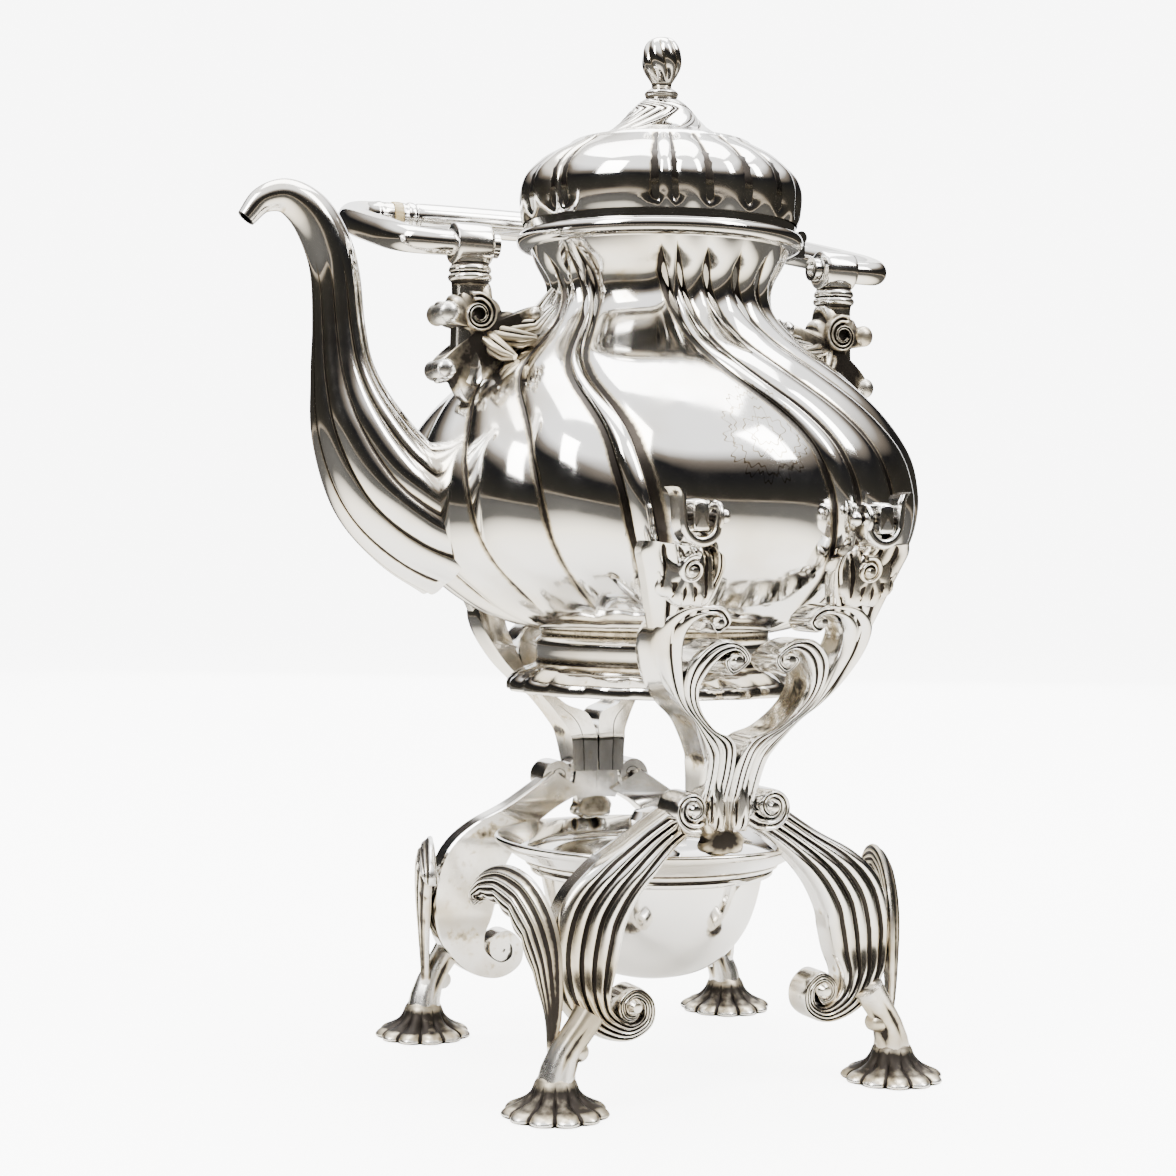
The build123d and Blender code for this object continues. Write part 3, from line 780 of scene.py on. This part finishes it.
def scrollEdges(cx, cz, radius, turns, start, hand, shrink=0.56):
    # outer and inner edges of a band wound into a scroll
    outer, inner = [], []
    steps = int(turns * 12)
    for k in range(steps + 1):
        a = start + hand * k * math.pi / 6
        for edge, lag in ((outer, 0), (inner, 11)):
            r = radius * shrink ** ((k + lag) / 12)
            edge.append((cx + r * math.cos(a), cz + r * math.sin(a)))
    return outer, inner


# handle posts

post = {
    "x": 79.5,
    # the belly's shoulder under the fronds: radius, z
    "shoulder": [(44, 300), (55, 281), (73, 267.5), (86.5, 254.5), (97.5, 239), (102, 222)],
    "stem": [(0, 262), (6.9, 262), (6.9, 292), (7.0, 299), (8.0, 300.4), (8.4, 301.4), (8.0, 302.4),
             (7.3, 303), (8.0, 303.7), (7.9, 305), (7.0, 306.4), (6.9, 309), (0, 309)],
    "knuckle": [(0, -7.9), (4.6, -7.9), (7.0, -7.3), (7.9, -5.6), (7.9, 5.6), (7.0, 7.3), (4.6, 7.9),
                (0, 7.9)],
    "leaf": [(50, 288), (53, 292.5), (57, 291), (62, 289.5), (66, 290.5), (70, 294), (72.6, 300), (79, 301.5),
             (86, 297), (88.5, 293.5), (92.5, 292), (94, 288), (91.5, 284), (86.5, 282.5), (84, 278),
             (87, 272.5), (92, 271), (95, 267), (93.5, 262), (88, 260), (80, 254), (70, 262), (58, 272)],
}


def pillowPiece(name, outline, front, depth, ribs=0, relief=0.8, swell=0.55, steps=6, grooves=0):
    # a cushioned slab: an outline in x, z given thickness in y, its edge rounded and lobed
    line = smoothLine(outline, steps, closed=True)
    line = np.vstack([line, line[:1]])
    middle = line[:-1].mean(axis=0)
    columns, rows = len(line) - 1, 22

    def place(u, w):
        x, z = line[round(u * columns) % columns]
        turn = math.pi * w
        shrink = abs(math.sin(turn)) ** swell
        lobe = relief * (1 - abs(math.sin(ribs * math.pi * u))) if ribs else 0
        y = front + depth * (0.5 - 0.5 * math.copysign(abs(math.cos(turn)) ** 0.8, math.cos(turn)))
        run = max(math.hypot(x - middle[0], z - middle[1]), 1e-6)
        shrink *= 1 - lobe * shrink ** 4 / run
        if grooves and 0.06 < w < 0.5:
            y += 1.5 * (1 - abs(math.sin(math.pi * (middle[0] + (x - middle[0]) * shrink) / grooves)))
        return middle[0] + (x - middle[0]) * shrink, y, middle[1] + (z - middle[1]) * shrink
    return sheetPiece(name, columns, rows, place)


def makePosts():
    stem = turnedPiece("stem", post["stem"], 64, center=(post["x"], 0), smooth=4)
    knuckle = turnedPiece("knuckle", post["knuckle"], 64, smooth=3)
    knuckle.data.transform(Matrix.Translation(Vector((post["x"], 0, bail["pivotZ"])) * mm)
                           @ Matrix.Rotation(math.radians(90), 4, "Y"))
    whole = joined("post", stem, knuckle)
    foot = pillowPiece("foot", post["leaf"], -7.4, 14.8, 17, 2.2)
    outer, inner = scrollEdges(79, 287, 9.4, 1.75, math.radians(70), 1, 0.5)
    fronds = [bandPiece("scroll", outer, inner, lambda z: -9.4, 18.8, 2, 1.3, length=80)]
    for k in range(7):
        # fronds that spread over the shoulder
        a = math.radians(-64 + k * 21.3)
        reach = 15 + 3.5 * math.cos(2.2 * a)
        pts = []
        for t in (0.0, 0.35, 0.7, 1.0):
            x = 78 - (8 + reach * 1.35 * t) * math.cos(a)
            y = (5 + reach * t) * math.sin(a)
            span = math.hypot(x, y)
            shoulder = float(np.interp(span, *zip(*post["shoulder"])))
            pts.append((x, y, max(shoulder + 0.8, 262) + 12 * (1 - t) ** 2 + 1.8 * math.sin(math.pi * t)))
        fronds.append(tubePiece("frond", pts, [3.4, 3.7, 3.0, 1.2], 30,
                                lambda a, t: 0.34 * abs(math.sin(2.5 * a)) - 0.2))
    for x, z, r in ((90, 287.5, 4.2), (91, 266.5, 3.9), (54.5, 288.5, 3.2)):
        fronds.append(eyeBall("curl", x, z, r, lambda z: -7.6, 15.2, 1.4))
    foot = joined("postFoot", foot, *fronds)
    for label, end in ends.items():
        turn = cornerTurn(-1, end)
        finishPiece(copyOf(whole, label + "Post", turn), castSilver, "kettle", [label + "_handle_post"])
        finishPiece(copyOf(foot, label + "PostLeaf", turn), blackened, "kettle")
    discard(whole, foot)


# stand

stand = {
    "legFrontY": 66.0, "legDepth": 12.0,
    "bracketDepths": [(108, 13), (122, 19), (160, 19), (176, 15), (190, 10), (204, 8)],
    "legOuter": [(20, 108), (39.5, 95.5), (54, 87.5), (65, 77), (70, 63), (69.8, 50), (65.5, 38),
                 (55.5, 27.5), (42, 23.5), (32, 28.5), (31.2, 37.5), (38, 43.2), (45, 39.5), (44.8, 32.8),
                 (39.5, 30.6), (36.4, 34.5)],
    "legInner": [(6, 100), (20, 92), (34, 78), (41, 66), (42.8, 58), (45, 49), (47.5, 41.5),
                 (47, 35), (41, 30.3), (36.2, 32), (36, 36.8), (39.4, 38.6), (41.7, 36.6), (40.6, 34.4),
                 (39.3, 34.2), (38.6, 35.3)],
    "legEye": (39.3, 36.2, 3.4),
    "heartInnerOut": [(6.5, 108), (7, 122), (9.5, 129.5), (18, 137), (25.5, 144.5), (29, 153), (28, 162),
                      (20.5, 168.5), (11, 168), (4.8, 161.5), (10.8, 155.8), (15.5, 161), (11.5, 164.2)],
    "heartInnerIn": [(0.3, 108), (0.3, 122), (3, 131.5), (12, 135.5), (19.5, 143), (22.3, 151),
                     (19.5, 158.5), (15.5, 163.2), (11, 164.6), (7.6, 161.5), (10.8, 158.8), (12.6, 161),
                     (11, 162)],
    "heartEye": (10.8, 161.5, 3.0),
    "heartOuterOut": [(11.6, 108), (12.3, 121.5), (14.6, 127.5), (22.1, 138.6), (29.9, 145.2),
                      (37.3, 153.7), (43.4, 166), (43.4, 175), (36.5, 180.6), (27.5, 181.6),
                      (19, 180.5), (15.6, 175), (20.5, 171), (24.6, 175)],
    "heartOuterIn": [(6.5, 108), (7, 122), (9.5, 129.5), (18, 137), (25.5, 144.5), (29, 153),
                     (31.5, 163), (32, 170), (30, 174.5), (26.5, 177), (22, 177.2), (19.2, 175),
                     (20.8, 173.6), (22.5, 175)],
    "hookEye": (21, 175.2, 2.4),
    "crownOuter": [(41, 166), (44.4, 174), (47, 181), (49.4, 188), (51.8, 194.5), (53.8, 200), (53.2, 203.6)],
    "crownInner": [(34, 170), (33, 177), (30.6, 183), (28.4, 188), (29.4, 193.5), (32, 198), (35, 201.4)],
    "spurOuter": [(34, 176), (33, 180), (30, 184), (27.4, 188.6), (25.8, 194), (26.6, 199.6), (29, 202.4)],
    "spurInner": [(24, 180), (24.6, 182), (23.6, 185), (22.6, 189.4), (21.8, 194), (22.6, 197.6),
                  (24.4, 199)],
}


def legFront(z):
    return -stand["legFrontY"] - 1.3 * (1 - smoothStep(40, 52, z)) + 4.2 * smoothStep(82, 98, z)


def bracketFront(z):
    return float(np.interp(z, [100, 106.5, 161.5, 192.5, 210], [-62.3, -62.3, -87.4, -99.0, -104.5]))


def makeLeg():
    leg = bandPiece("leg", stand["legOuter"], stand["legInner"], legFront, stand["legDepth"], 5, 1.5,
                    length=150)
    x, z, r = stand["legEye"]
    return joined("leg", leg, eyeBall("eye", x, z, r, legFront, 11, 2.2))


def bracketDepth(z):
    heights, depths = zip(*stand["bracketDepths"])
    return float(np.interp(z, heights, depths))


def makeHeartHalf():
    depth = bracketDepth
    parts = [bandPiece("inner", stand["heartInnerOut"], stand["heartInnerIn"], bracketFront, depth, 3, 1.3),
             bandPiece("outer", stand["heartOuterOut"], stand["heartOuterIn"], bracketFront, depth, 2, 1.3),
             bandPiece("crown", stand["crownOuter"], stand["crownInner"], lambda z: bracketFront(z) + 0.6,
                       10, 3, 2.0, length=48),
             bandPiece("spur", stand["spurOuter"], stand["spurInner"], lambda z: bracketFront(z) + 0.4,
                       7, 2, 1.4, length=40, across=44),
             pillowPiece("bed", [(26, 183), (36, 180), (46, 184), (50, 193), (50, 200.5), (40, 203), (30, 202.5),
                                 (25, 196)], -99.5, 8, 9, 1.4, grooves=4.2)]
    for key in ("heartEye", "hookEye"):
        x, z, r = stand[key]
        parts.append(eyeBall(key, x, z, r, bracketFront, 8, 2.0))
    outer, inner = scrollEdges(35.6, 193.4, 6.4, 1.75, math.radians(110), -1)
    parts.append(bandPiece("curl", outer, inner, lambda z: bracketFront(z) - 1.8, 8, 1, 0.8, length=60,
                           across=40))
    parts.append(eyeBall("curlEye", 35.6, 193.4, 2.2, lambda z: bracketFront(z) - 1.4, 6, 1.6))
    return joined("heart", *parts)


def makeKnotHalf():
    outer, inner = scrollEdges(16.4, 106, 9.8, 1.75, math.radians(250), 1, 0.46)
    scroll = bandPiece("scroll", outer, inner, lambda z: -67.2, 15, 2, 1.3, length=90)
    eye = eyeBall("eye", 16.4, 106, 3.2, lambda z: -66.8, 11, 2.2)
    web = bandPiece("web", [(9, 96.5), (10.5, 101), (10, 106), (9, 111), (7.5, 116)],
                    [(-0.2, 97.5), (-0.2, 101), (-0.2, 106), (-0.2, 111), (-0.2, 116)],
                    lambda z: -62.6, 11, 2, 1.6, length=24)
    leaf = pillowPiece("leaf", [(1.2, 98), (5, 96.4), (8.4, 99), (9.4, 106), (8.6, 114), (5.4, 121), (2.6, 116)],
                       -65.6, 9, 9, 1.2, grooves=2.6)
    return joined("knot", scroll, eye, web, leaf)


kneeLeaf = {
    # along the leaf's own plane: upper edge, then lower edge
    "upper": [(0, 22), (-3.4, 34), (-4.0, 48), (-2.6, 62), (3.4, 74), (13, 82.5), (25, 85.6), (36, 83.4),
              (43.6, 77.6), (46, 72), (43.5, 68.6), (39.6, 70.5)],
    "lower": [(2.4, 22), (4.4, 34), (9, 44), (14.5, 53), (20, 60.5), (24.6, 65.6), (29.6, 69.2), (34, 70.8),
              (37.6, 71.6), (39.6, 72.4), (40.2, 72.8), (41.2, 73.2)],
    "thickness": 3.2, "ribs": 6, "origin": (69.8, -64.2, 0),
}


def makeKneeLeaf():
    # an acanthus leaf in an upright plane that leans in from the foot
    go = Vector((14, 43, 0)).normalized()
    out = Vector((go.y, -go.x, 0))
    origin = Vector(kneeLeaf["origin"])
    both = smoothLine([(*o, *i) for o, i in zip(kneeLeaf["upper"], kneeLeaf["lower"])], 10)
    rows = len(both) - 1

    def place(u, w):
        ox, oz, ix, iz = both[round(w * rows)]
        face = 1 if u < 0.5 else -1
        q = 1 - 2 * u if u < 0.5 else 2 * u - 1
        body = math.sin(math.pi * min(max(q, 0), 1)) ** 0.45
        grow = smoothStep(0.05, 0.35, w)
        ridge = abs(math.sin(kneeLeaf["ribs"] * math.pi * (q + 0.12 * w)))
        thick = kneeLeaf["thickness"] * body * (0.62 + 0.38 * ridge * grow)
        # lobes along the lower edge
        lobe = 1.6 * grow * (1 - q) ** 2 * (1 - abs(math.sin(9 * math.pi * w)))
        x, z = ix + (ox - ix) * q, iz + (oz - iz) * q
        x, z = x + (ox - ix) * lobe * 0.05, z + (oz - iz) * lobe * 0.05
        flare = 2.6 * math.sin(math.pi * q) * math.sin(math.pi * min(w * 1.1, 1))
        return origin + go * x + out * (face * thick + flare) + Vector((0, 0, z))
    return sheetPiece("kneeLeaf", 96, rows, place, capped=True)



shellFoot = {
    "outline": [(0, 0.1), (10, 0.1), (17.4, 0.1), (19.2, 0.7), (19.3, 1.8), (17.6, 3.4), (14.4, 4.8),
                (11.2, 6.6), (8.8, 9.2), (7.2, 12.6), (5, 14.6), (0, 15.4)],
    "flutes": 11,
}


def makeShellFoot():
    def relief(a, r, z, w):
        flare = smoothStep(7, 14, r)
        if z < 0.5:
            return -1.5 * flare * (1 - abs(math.sin(shellFoot["flutes"] * a / 2)))
        return -2.8 * flare * (1 - abs(math.sin(shellFoot["flutes"] * a / 2)) ** 0.9)
    skirt = turnedPiece("skirt", shellFoot["outline"], 220, relief, center=(70, -66.5), smooth=5)
    neck = tubePiece("neck", [(70, -66.5, 10), (69.2, -66.7, 16), (67, -67.2, 22), (64, -67.8, 27),
                              (60.5, -68.2, 32), (58, -68.2, 36)], [6.6, 5.8, 5.2, 5.0, 5.2, 5.4], 28,
                     lambda a, t: 0.12 * abs(math.sin(3 * a)))
    toe = eyeBall("toe", 62.2, 22.5, 3.6, lambda z: -70.4, 6, 1.6)
    return joined("shellFoot", skirt, neck, toe)


fork = {
    # the outer and inner edge of the hooked strap that the lug drops into
    "outer": [(47.4, 222), (45.6, 219.5), (44.9, 214), (44.2, 208), (41.6, 203.4), (37, 201.4), (32.4, 202.4),
              (29.4, 205.4), (28.6, 210), (28.9, 213)],
    "inner": [(43.4, 220.8), (42.6, 218), (42.2, 213), (41.6, 208.6), (39.6, 206.2), (37, 205.4), (34.4, 205.8),
              (32.4, 207.6), (31.6, 211), (31.4, 213)],
    "lug": [(34.2, 206.4), (39.8, 206.4), (40.2, 208), (40.2, 216), (39.2, 217.8), (37, 218.3),
            (34.8, 217.8), (33.8, 216), (33.8, 208)],
    # half widths and places along the pin, from the knob to the hooked ear
    "pin": [(0, -12.6), (1.6, -12.3), (2.6, -11), (2.3, -9.6), (1.5, -8.8), (1.7, -8.4), (5.0, -8.0), (5.6, -7.4),
            (5.4, -6.6), (3.2, -6.3), (1.6, -6.2), (1.6, 5.2), (2.6, 5.6), (2.6, 6.9), (1.6, 7.4), (0, 7.6)],
}


def makeHangers():
    strap = bandPiece("fork", fork["outer"], fork["inner"], lambda z: -109.2, 8.6, 1, 0.5, length=60,
                      across=40)
    lug = pillowPiece("lug", fork["lug"], -109.4, 17, steps=5, swell=0.2)
    pin = turnedPiece("pin", fork["pin"], 40, smooth=3)
    pin.data.transform(Matrix.Translation(Vector((37, -105, 212)) * mm)
                       @ Matrix.Rotation(math.radians(90), 4, "Y"))
    for side, s in sides.items():
        for end, e in ends.items():
            turn = cornerTurn(s, e)
            label = side + "_" + end + "_"
            finishPiece(copyOf(strap, label + "strap", turn), castSilver, "stand", [label + "fork"])
            finishPiece(copyOf(lug, label + "lugPlate", turn), castSilver, "kettle", [label + "lug"])
            finishPiece(copyOf(pin, label + "lugPin", turn), castSilver, "kettle", [label + "lug_pin"])
    discard(strap, lug, pin)


def makeRingLeaves():
    # small leaves that tie the burner ring to the waist of each frame
    leaf = pillowPiece("ringLeaf", [(-7, 88), (0, 87.2), (7, 88), (9.4, 91.5), (7.6, 96), (4, 99.5), (0, 100.5),
                                    (-4, 99.5), (-7.6, 96), (-9.4, 91.5)], -61.6, 9, 7, 1.2)
    for side, s in sides.items():
        finishPiece(copyOf(leaf, side + "RingLeaf", cornerTurn(s)), blackened, "stand",
                    [side + "_ring_bracket"])
    discard(leaf)


def makeStand():
    leg, heart, knot = makeLeg(), makeHeartHalf(), makeKnotHalf()
    leaf, foot = makeKneeLeaf(), makeShellFoot()
    for side, s in sides.items():
        for end, e in ends.items():
            turn = cornerTurn(s, e)
            label = side + "_" + end + "_"
            for piece, node, look in ((leg, "leg", castSilver), (leaf, "knee_leaf", blackened),
                                      (foot, "shell_foot", blackened)):
                finishPiece(copyOf(piece, label + piece.name, turn), look, "stand", [label + node],
                            gain=2.8)
        for piece, node in ((heart, "heart_bracket"), (knot, "waist_knot")):
            halves = [copyOf(piece, "half", cornerTurn(s, e)) for e in (1, -1)]
            whole = joined(side + "_" + piece.name, *halves)
            finishPiece(whole, castSilver, "stand", [side + "_" + node], gain=2.8)
    discard(leg, heart, knot, leaf, foot)


makePosts()
makeStand()
makeHangers()
makeRingLeaves()
say("stand made")


# burner

burner = {
    "ring": [(44.2, 74), (47, 73.5), (47.8, 75), (47.6, 76.4), (49.6, 77), (50.2, 78.6), (52.6, 79.6),
             (57, 82.4), (60.6, 84.6), (61.8, 86), (62, 87.2), (61.2, 88), (59.6, 87.6), (56, 85.4),
             (51, 82), (49, 80), (44.3, 80)],
    "bowl": [(0, 32), (8, 32.5), (20, 35.6), (28, 40.4), (33.6, 46), (38, 53), (41, 61), (43.1, 70),
             (43.6, 75), (43.6, 79.8)],
    "cover": [(6.6, 74), (13, 73), (22, 73.8), (30, 75.5), (38, 78.4), (41, 80), (47.4, 80),
              (47.4, 81.1), (41, 81.2), (37.6, 79.8), (30, 76.9), (22, 75.2), (13, 74.7), (12.2, 76.5),
              (12, 79.8), (11, 81.4), (9.6, 82.3), (6.6, 82.4)],
}


def ringPiece(name, outline, around, relief=None, smooth=3):
    # a turned ring: the outline is closed on itself
    line = smoothLine(outline, smooth, closed=True)
    line = np.vstack([line, line[:1]])
    rows = len(line) - 1

    def place(u, w):
        r, z = line[round(w * rows) % rows]
        a = 2 * math.pi * u
        if relief:
            r += relief(a, r, z)
        return r * math.cos(a), r * math.sin(a), z
    return sheetPiece(name, around, rows, place)


def makeBurner():
    ring = ringPiece("burnerRing", burner["ring"], 160)
    finishPiece(ring, polished, "stand", ["burner_ring"], angle=50)
    outer = smoothLine(burner["bowl"], 6)
    line = [tuple(p) for p in outer] + [(42.6, 79.8)] + [(max(r - 1.1, 0), z + (1.1 if z < 60 else 0))
                                                         for r, z in outer[::-2]][1:]
    line[0], line[-1] = (0, 32), (0, 33.1)
    bowl = turnedPiece("lampBowl", line, 128)
    finishPiece(bowl, polished, "burner", ["lamp_bowl"])
    cover = ringPiece("lampCover", burner["cover"], 128, smooth=2)
    finishPiece(cover, polished, "burner", ["lamp_cover"], angle=50)


makeBurner()
say("burner made")


# pieces kept from the CAD

keptLooks = {
    "polished": (polished, 0.3), "cotton": (cotton, 0.3),
}


def keepNodes():
    shown = {
        "spout_strainer": "polished", "hinge_leaf": "polished", "hinge_pin": "polished",
        "front_pivot_button": "polished", "rear_pivot_button": "polished",
        "lid_bezel": "polished", "lid_knuckle": "polished", "finial_nut": "polished",
        "wick_tube": "polished", "wick": "cotton", "snuffer_hinge": "polished", "snuffer_pin": "polished",
        "snuffer_cap": "polished",
    }
    for name, look in shown.items():
        material, width = keptLooks[look]
        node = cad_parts[name]
        node.data.materials.clear()
        node.data.materials.append(material)
        if look != "cotton":
            bevel = node.modifiers.new("Bevel", "BEVEL")
            bevel.width, bevel.segments = width * mm, 3
            bevel.limit_method = "ANGLE"
            bevel.angle_limit = math.radians(40)


keepNodes()
say("CAD pieces dressed")


# floor, light and camera

def floorMaterial():
    material, tree, shader = newMaterial("paleFloor", "floor")
    coords = addNode(tree, "ShaderNodeTexCoord")
    grain = addNode(tree, "ShaderNodeTexNoise", [("Vector", coords.outputs["Object"])], in_Scale=14.0,
                    in_Detail=3.0)
    tone = addNode(tree, "ShaderNodeMapRange", [("Value", grain.outputs["Fac"])], in_3=0.90, in_4=0.93)
    colour = addNode(tree, "ShaderNodeCombineColor", [(0, tone.outputs[0]), (1, tone.outputs[0]),
                                                      (2, tone.outputs[0])])
    # painted pool of light, seen only by glossy rays: the floor is painted bright near the kettle and fades to a
    # dark room, so polished metal reflects a lit table
    span = addNode(tree, "ShaderNodeVectorMath", [(0, coords.outputs["Object"])], operation="LENGTH")
    reach = addNode(tree, "ShaderNodeMapRange", [("Value", span.outputs["Value"])], in_1=0.12, in_2=0.85)
    paintedPoolOfLight = addNode(tree, "ShaderNodeValToRGB", [(0, reach.outputs[0])])
    paintedPoolOfLight.color_ramp.elements[0].color = (0.95, 0.93, 0.88, 1)
    paintedPoolOfLight.color_ramp.elements[1].color = (0.02, 0.018, 0.014, 1)
    paintedPoolOfLight.color_ramp.elements.new(0.42).color = (0.80, 0.74, 0.62, 1)
    rays = addNode(tree, "ShaderNodeLightPath")
    mixed = addNode(tree, "ShaderNodeMix", data_type="RGBA")
    # glossy rays see the painted pool of light in place of the floor's own grain
    tree.links.new(rays.outputs["Is Glossy Ray"], mixed.inputs["Factor"])
    tree.links.new(colour.outputs[0], mixed.inputs[6])
    tree.links.new(paintedPoolOfLight.outputs[0], mixed.inputs[7])
    tree.links.new(mixed.outputs[2], shader.inputs["Base Color"])
    shader.inputs["Roughness"].default_value = 0.9
    shader.inputs["Emission Color"].default_value = (1, 1, 1, 1)
    glow = addNode(tree, "ShaderNodeMath", [(0, rays.outputs["Is Camera Ray"])], operation="MULTIPLY",
                   in_1=6.5)
    tree.links.new(glow.outputs[0], shader.inputs["Emission Strength"])
    return material


def makeFloor():
    deselectAll()
    bpy.ops.mesh.primitive_circle_add(vertices=96, radius=4.0, fill_type="NGON", location=(0, 0, 0))
    floor = bpy.context.object
    floor.name = "floor"
    floor.data.materials.append(floorMaterial())


lights = {
    # name: place, aimed at, size x, size y, watts, colour
    "leftSoftbox": ((-1.9, -0.7, 1.9), (0, 0, 0.2), 0.9, 1.5, 62, (1.0, 0.98, 0.95)),
    "rightSoftbox": ((1.2, -1.4, 2.0), (0, 0, 0.2), 0.8, 1.3, 44, (1.0, 0.99, 0.97)),
    "topSoftbox": ((0.2, 0.4, 2.3), (0, 0, 0.2), 2.0, 1.6, 95, (1.0, 1.0, 1.0)),
    "backSoftbox": ((0.9, 1.9, 0.9), (0, 0, 0.2), 1.6, 1.6, 26, (1.0, 1.0, 1.0)),
}


def makeLights():
    for name, (place, aim, wide, tall, watts, colour) in lights.items():
        lamp = bpy.data.lights.new(name, "AREA")
        lamp.shape, lamp.size, lamp.size_y = "RECTANGLE", wide, tall
        lamp.energy, lamp.color = watts, colour
        thing = bpy.data.objects.new(name, lamp)
        bpy.context.scene.collection.objects.link(thing)
        thing.location = place
        thing.rotation_euler = (Vector(aim) - Vector(place)).to_track_quat("-Z", "Y").to_euler()


def makeWorld():
    # plain pale to the eye; the metal sees a studio: dark room ahead, pale ceiling and walls
    world = bpy.data.worlds.new("studio")
    bpy.context.scene.world = world
    world.use_nodes = True
    tree = world.node_tree
    tree.nodes.clear()
    coords = addNode(tree, "ShaderNodeTexCoord")
    parts = addNode(tree, "ShaderNodeSeparateXYZ", [(0, coords.outputs["Generated"])])
    ramp = addNode(tree, "ShaderNodeValToRGB")
    height = addNode(tree, "ShaderNodeMapRange", [("Value", parts.outputs["Z"])], in_1=-1.0, in_2=1.0)
    tree.links.new(height.outputs[0], ramp.inputs[0])
    stops = [(0.0, (0.9, 0.86, 0.78, 1)), (0.46, (0.5, 0.42, 0.32, 1)), (0.49, (0.02, 0.018, 0.014, 1)),
             (0.68, (0.006, 0.006, 0.007, 1)), (0.75, (0.14, 0.12, 0.10, 1)), (0.84, (1.0, 1.0, 1.0, 1))]
    ramp.color_ramp.elements[0].position, ramp.color_ramp.elements[0].color = stops[0]
    ramp.color_ramp.elements[1].position, ramp.color_ramp.elements[1].color = stops[-1]
    for position, colour in stops[1:-1]:
        ramp.color_ramp.elements.new(position).color = colour
    seen = addNode(tree, "ShaderNodeBackground")
    seen.inputs["Color"].default_value = (1, 1, 1, 1)
    seen.inputs["Strength"].default_value = 8.0
    felt = addNode(tree, "ShaderNodeBackground", [(0, ramp.outputs[0])])
    felt.inputs["Strength"].default_value = 2.2
    rays = addNode(tree, "ShaderNodeLightPath")
    mix = addNode(tree, "ShaderNodeMixShader", [(0, rays.outputs["Is Camera Ray"]), (1, felt.outputs[0]),
                                                (2, seen.outputs[0])])
    addNode(tree, "ShaderNodeOutputWorld", [(0, mix.outputs[0])])


camera = {
    "place": (-0.3814, -0.7607, 0.2036), "lens": 66.31, "roll": math.radians(0.71),
    "forward": (0.4482, 0.8939, 0.0), "aimRight": -67.0, "aimUp": -48.4, "focal": 2166.0,
}


def makeCamera():
    forward = Vector(camera["forward"]).normalized()
    right = Vector((forward.y, -forward.x, 0))
    aim = (forward * camera["focal"] + right * camera["aimRight"]
           + Vector((0, 0, camera["aimUp"]))).normalized()
    level = aim.cross(Vector((0, 0, 1))).normalized()
    upright = level.cross(aim)
    c, s = math.cos(camera["roll"]), math.sin(camera["roll"])
    across, up = level * c + upright * s, upright * c - level * s
    data = bpy.data.cameras.new("camera")
    data.lens, data.sensor_width = camera["lens"], 36
    thing = bpy.data.objects.new("camera", data)
    bpy.context.scene.collection.objects.link(thing)
    turn = Matrix((across, up, -aim)).transposed().to_4x4()
    thing.matrix_world = Matrix.Translation(Vector(camera["place"])) @ turn
    bpy.context.scene.camera = thing


makeFloor()
makeLights()
makeWorld()
makeCamera()
say("stage set")

bpy.context.view_layer.update()
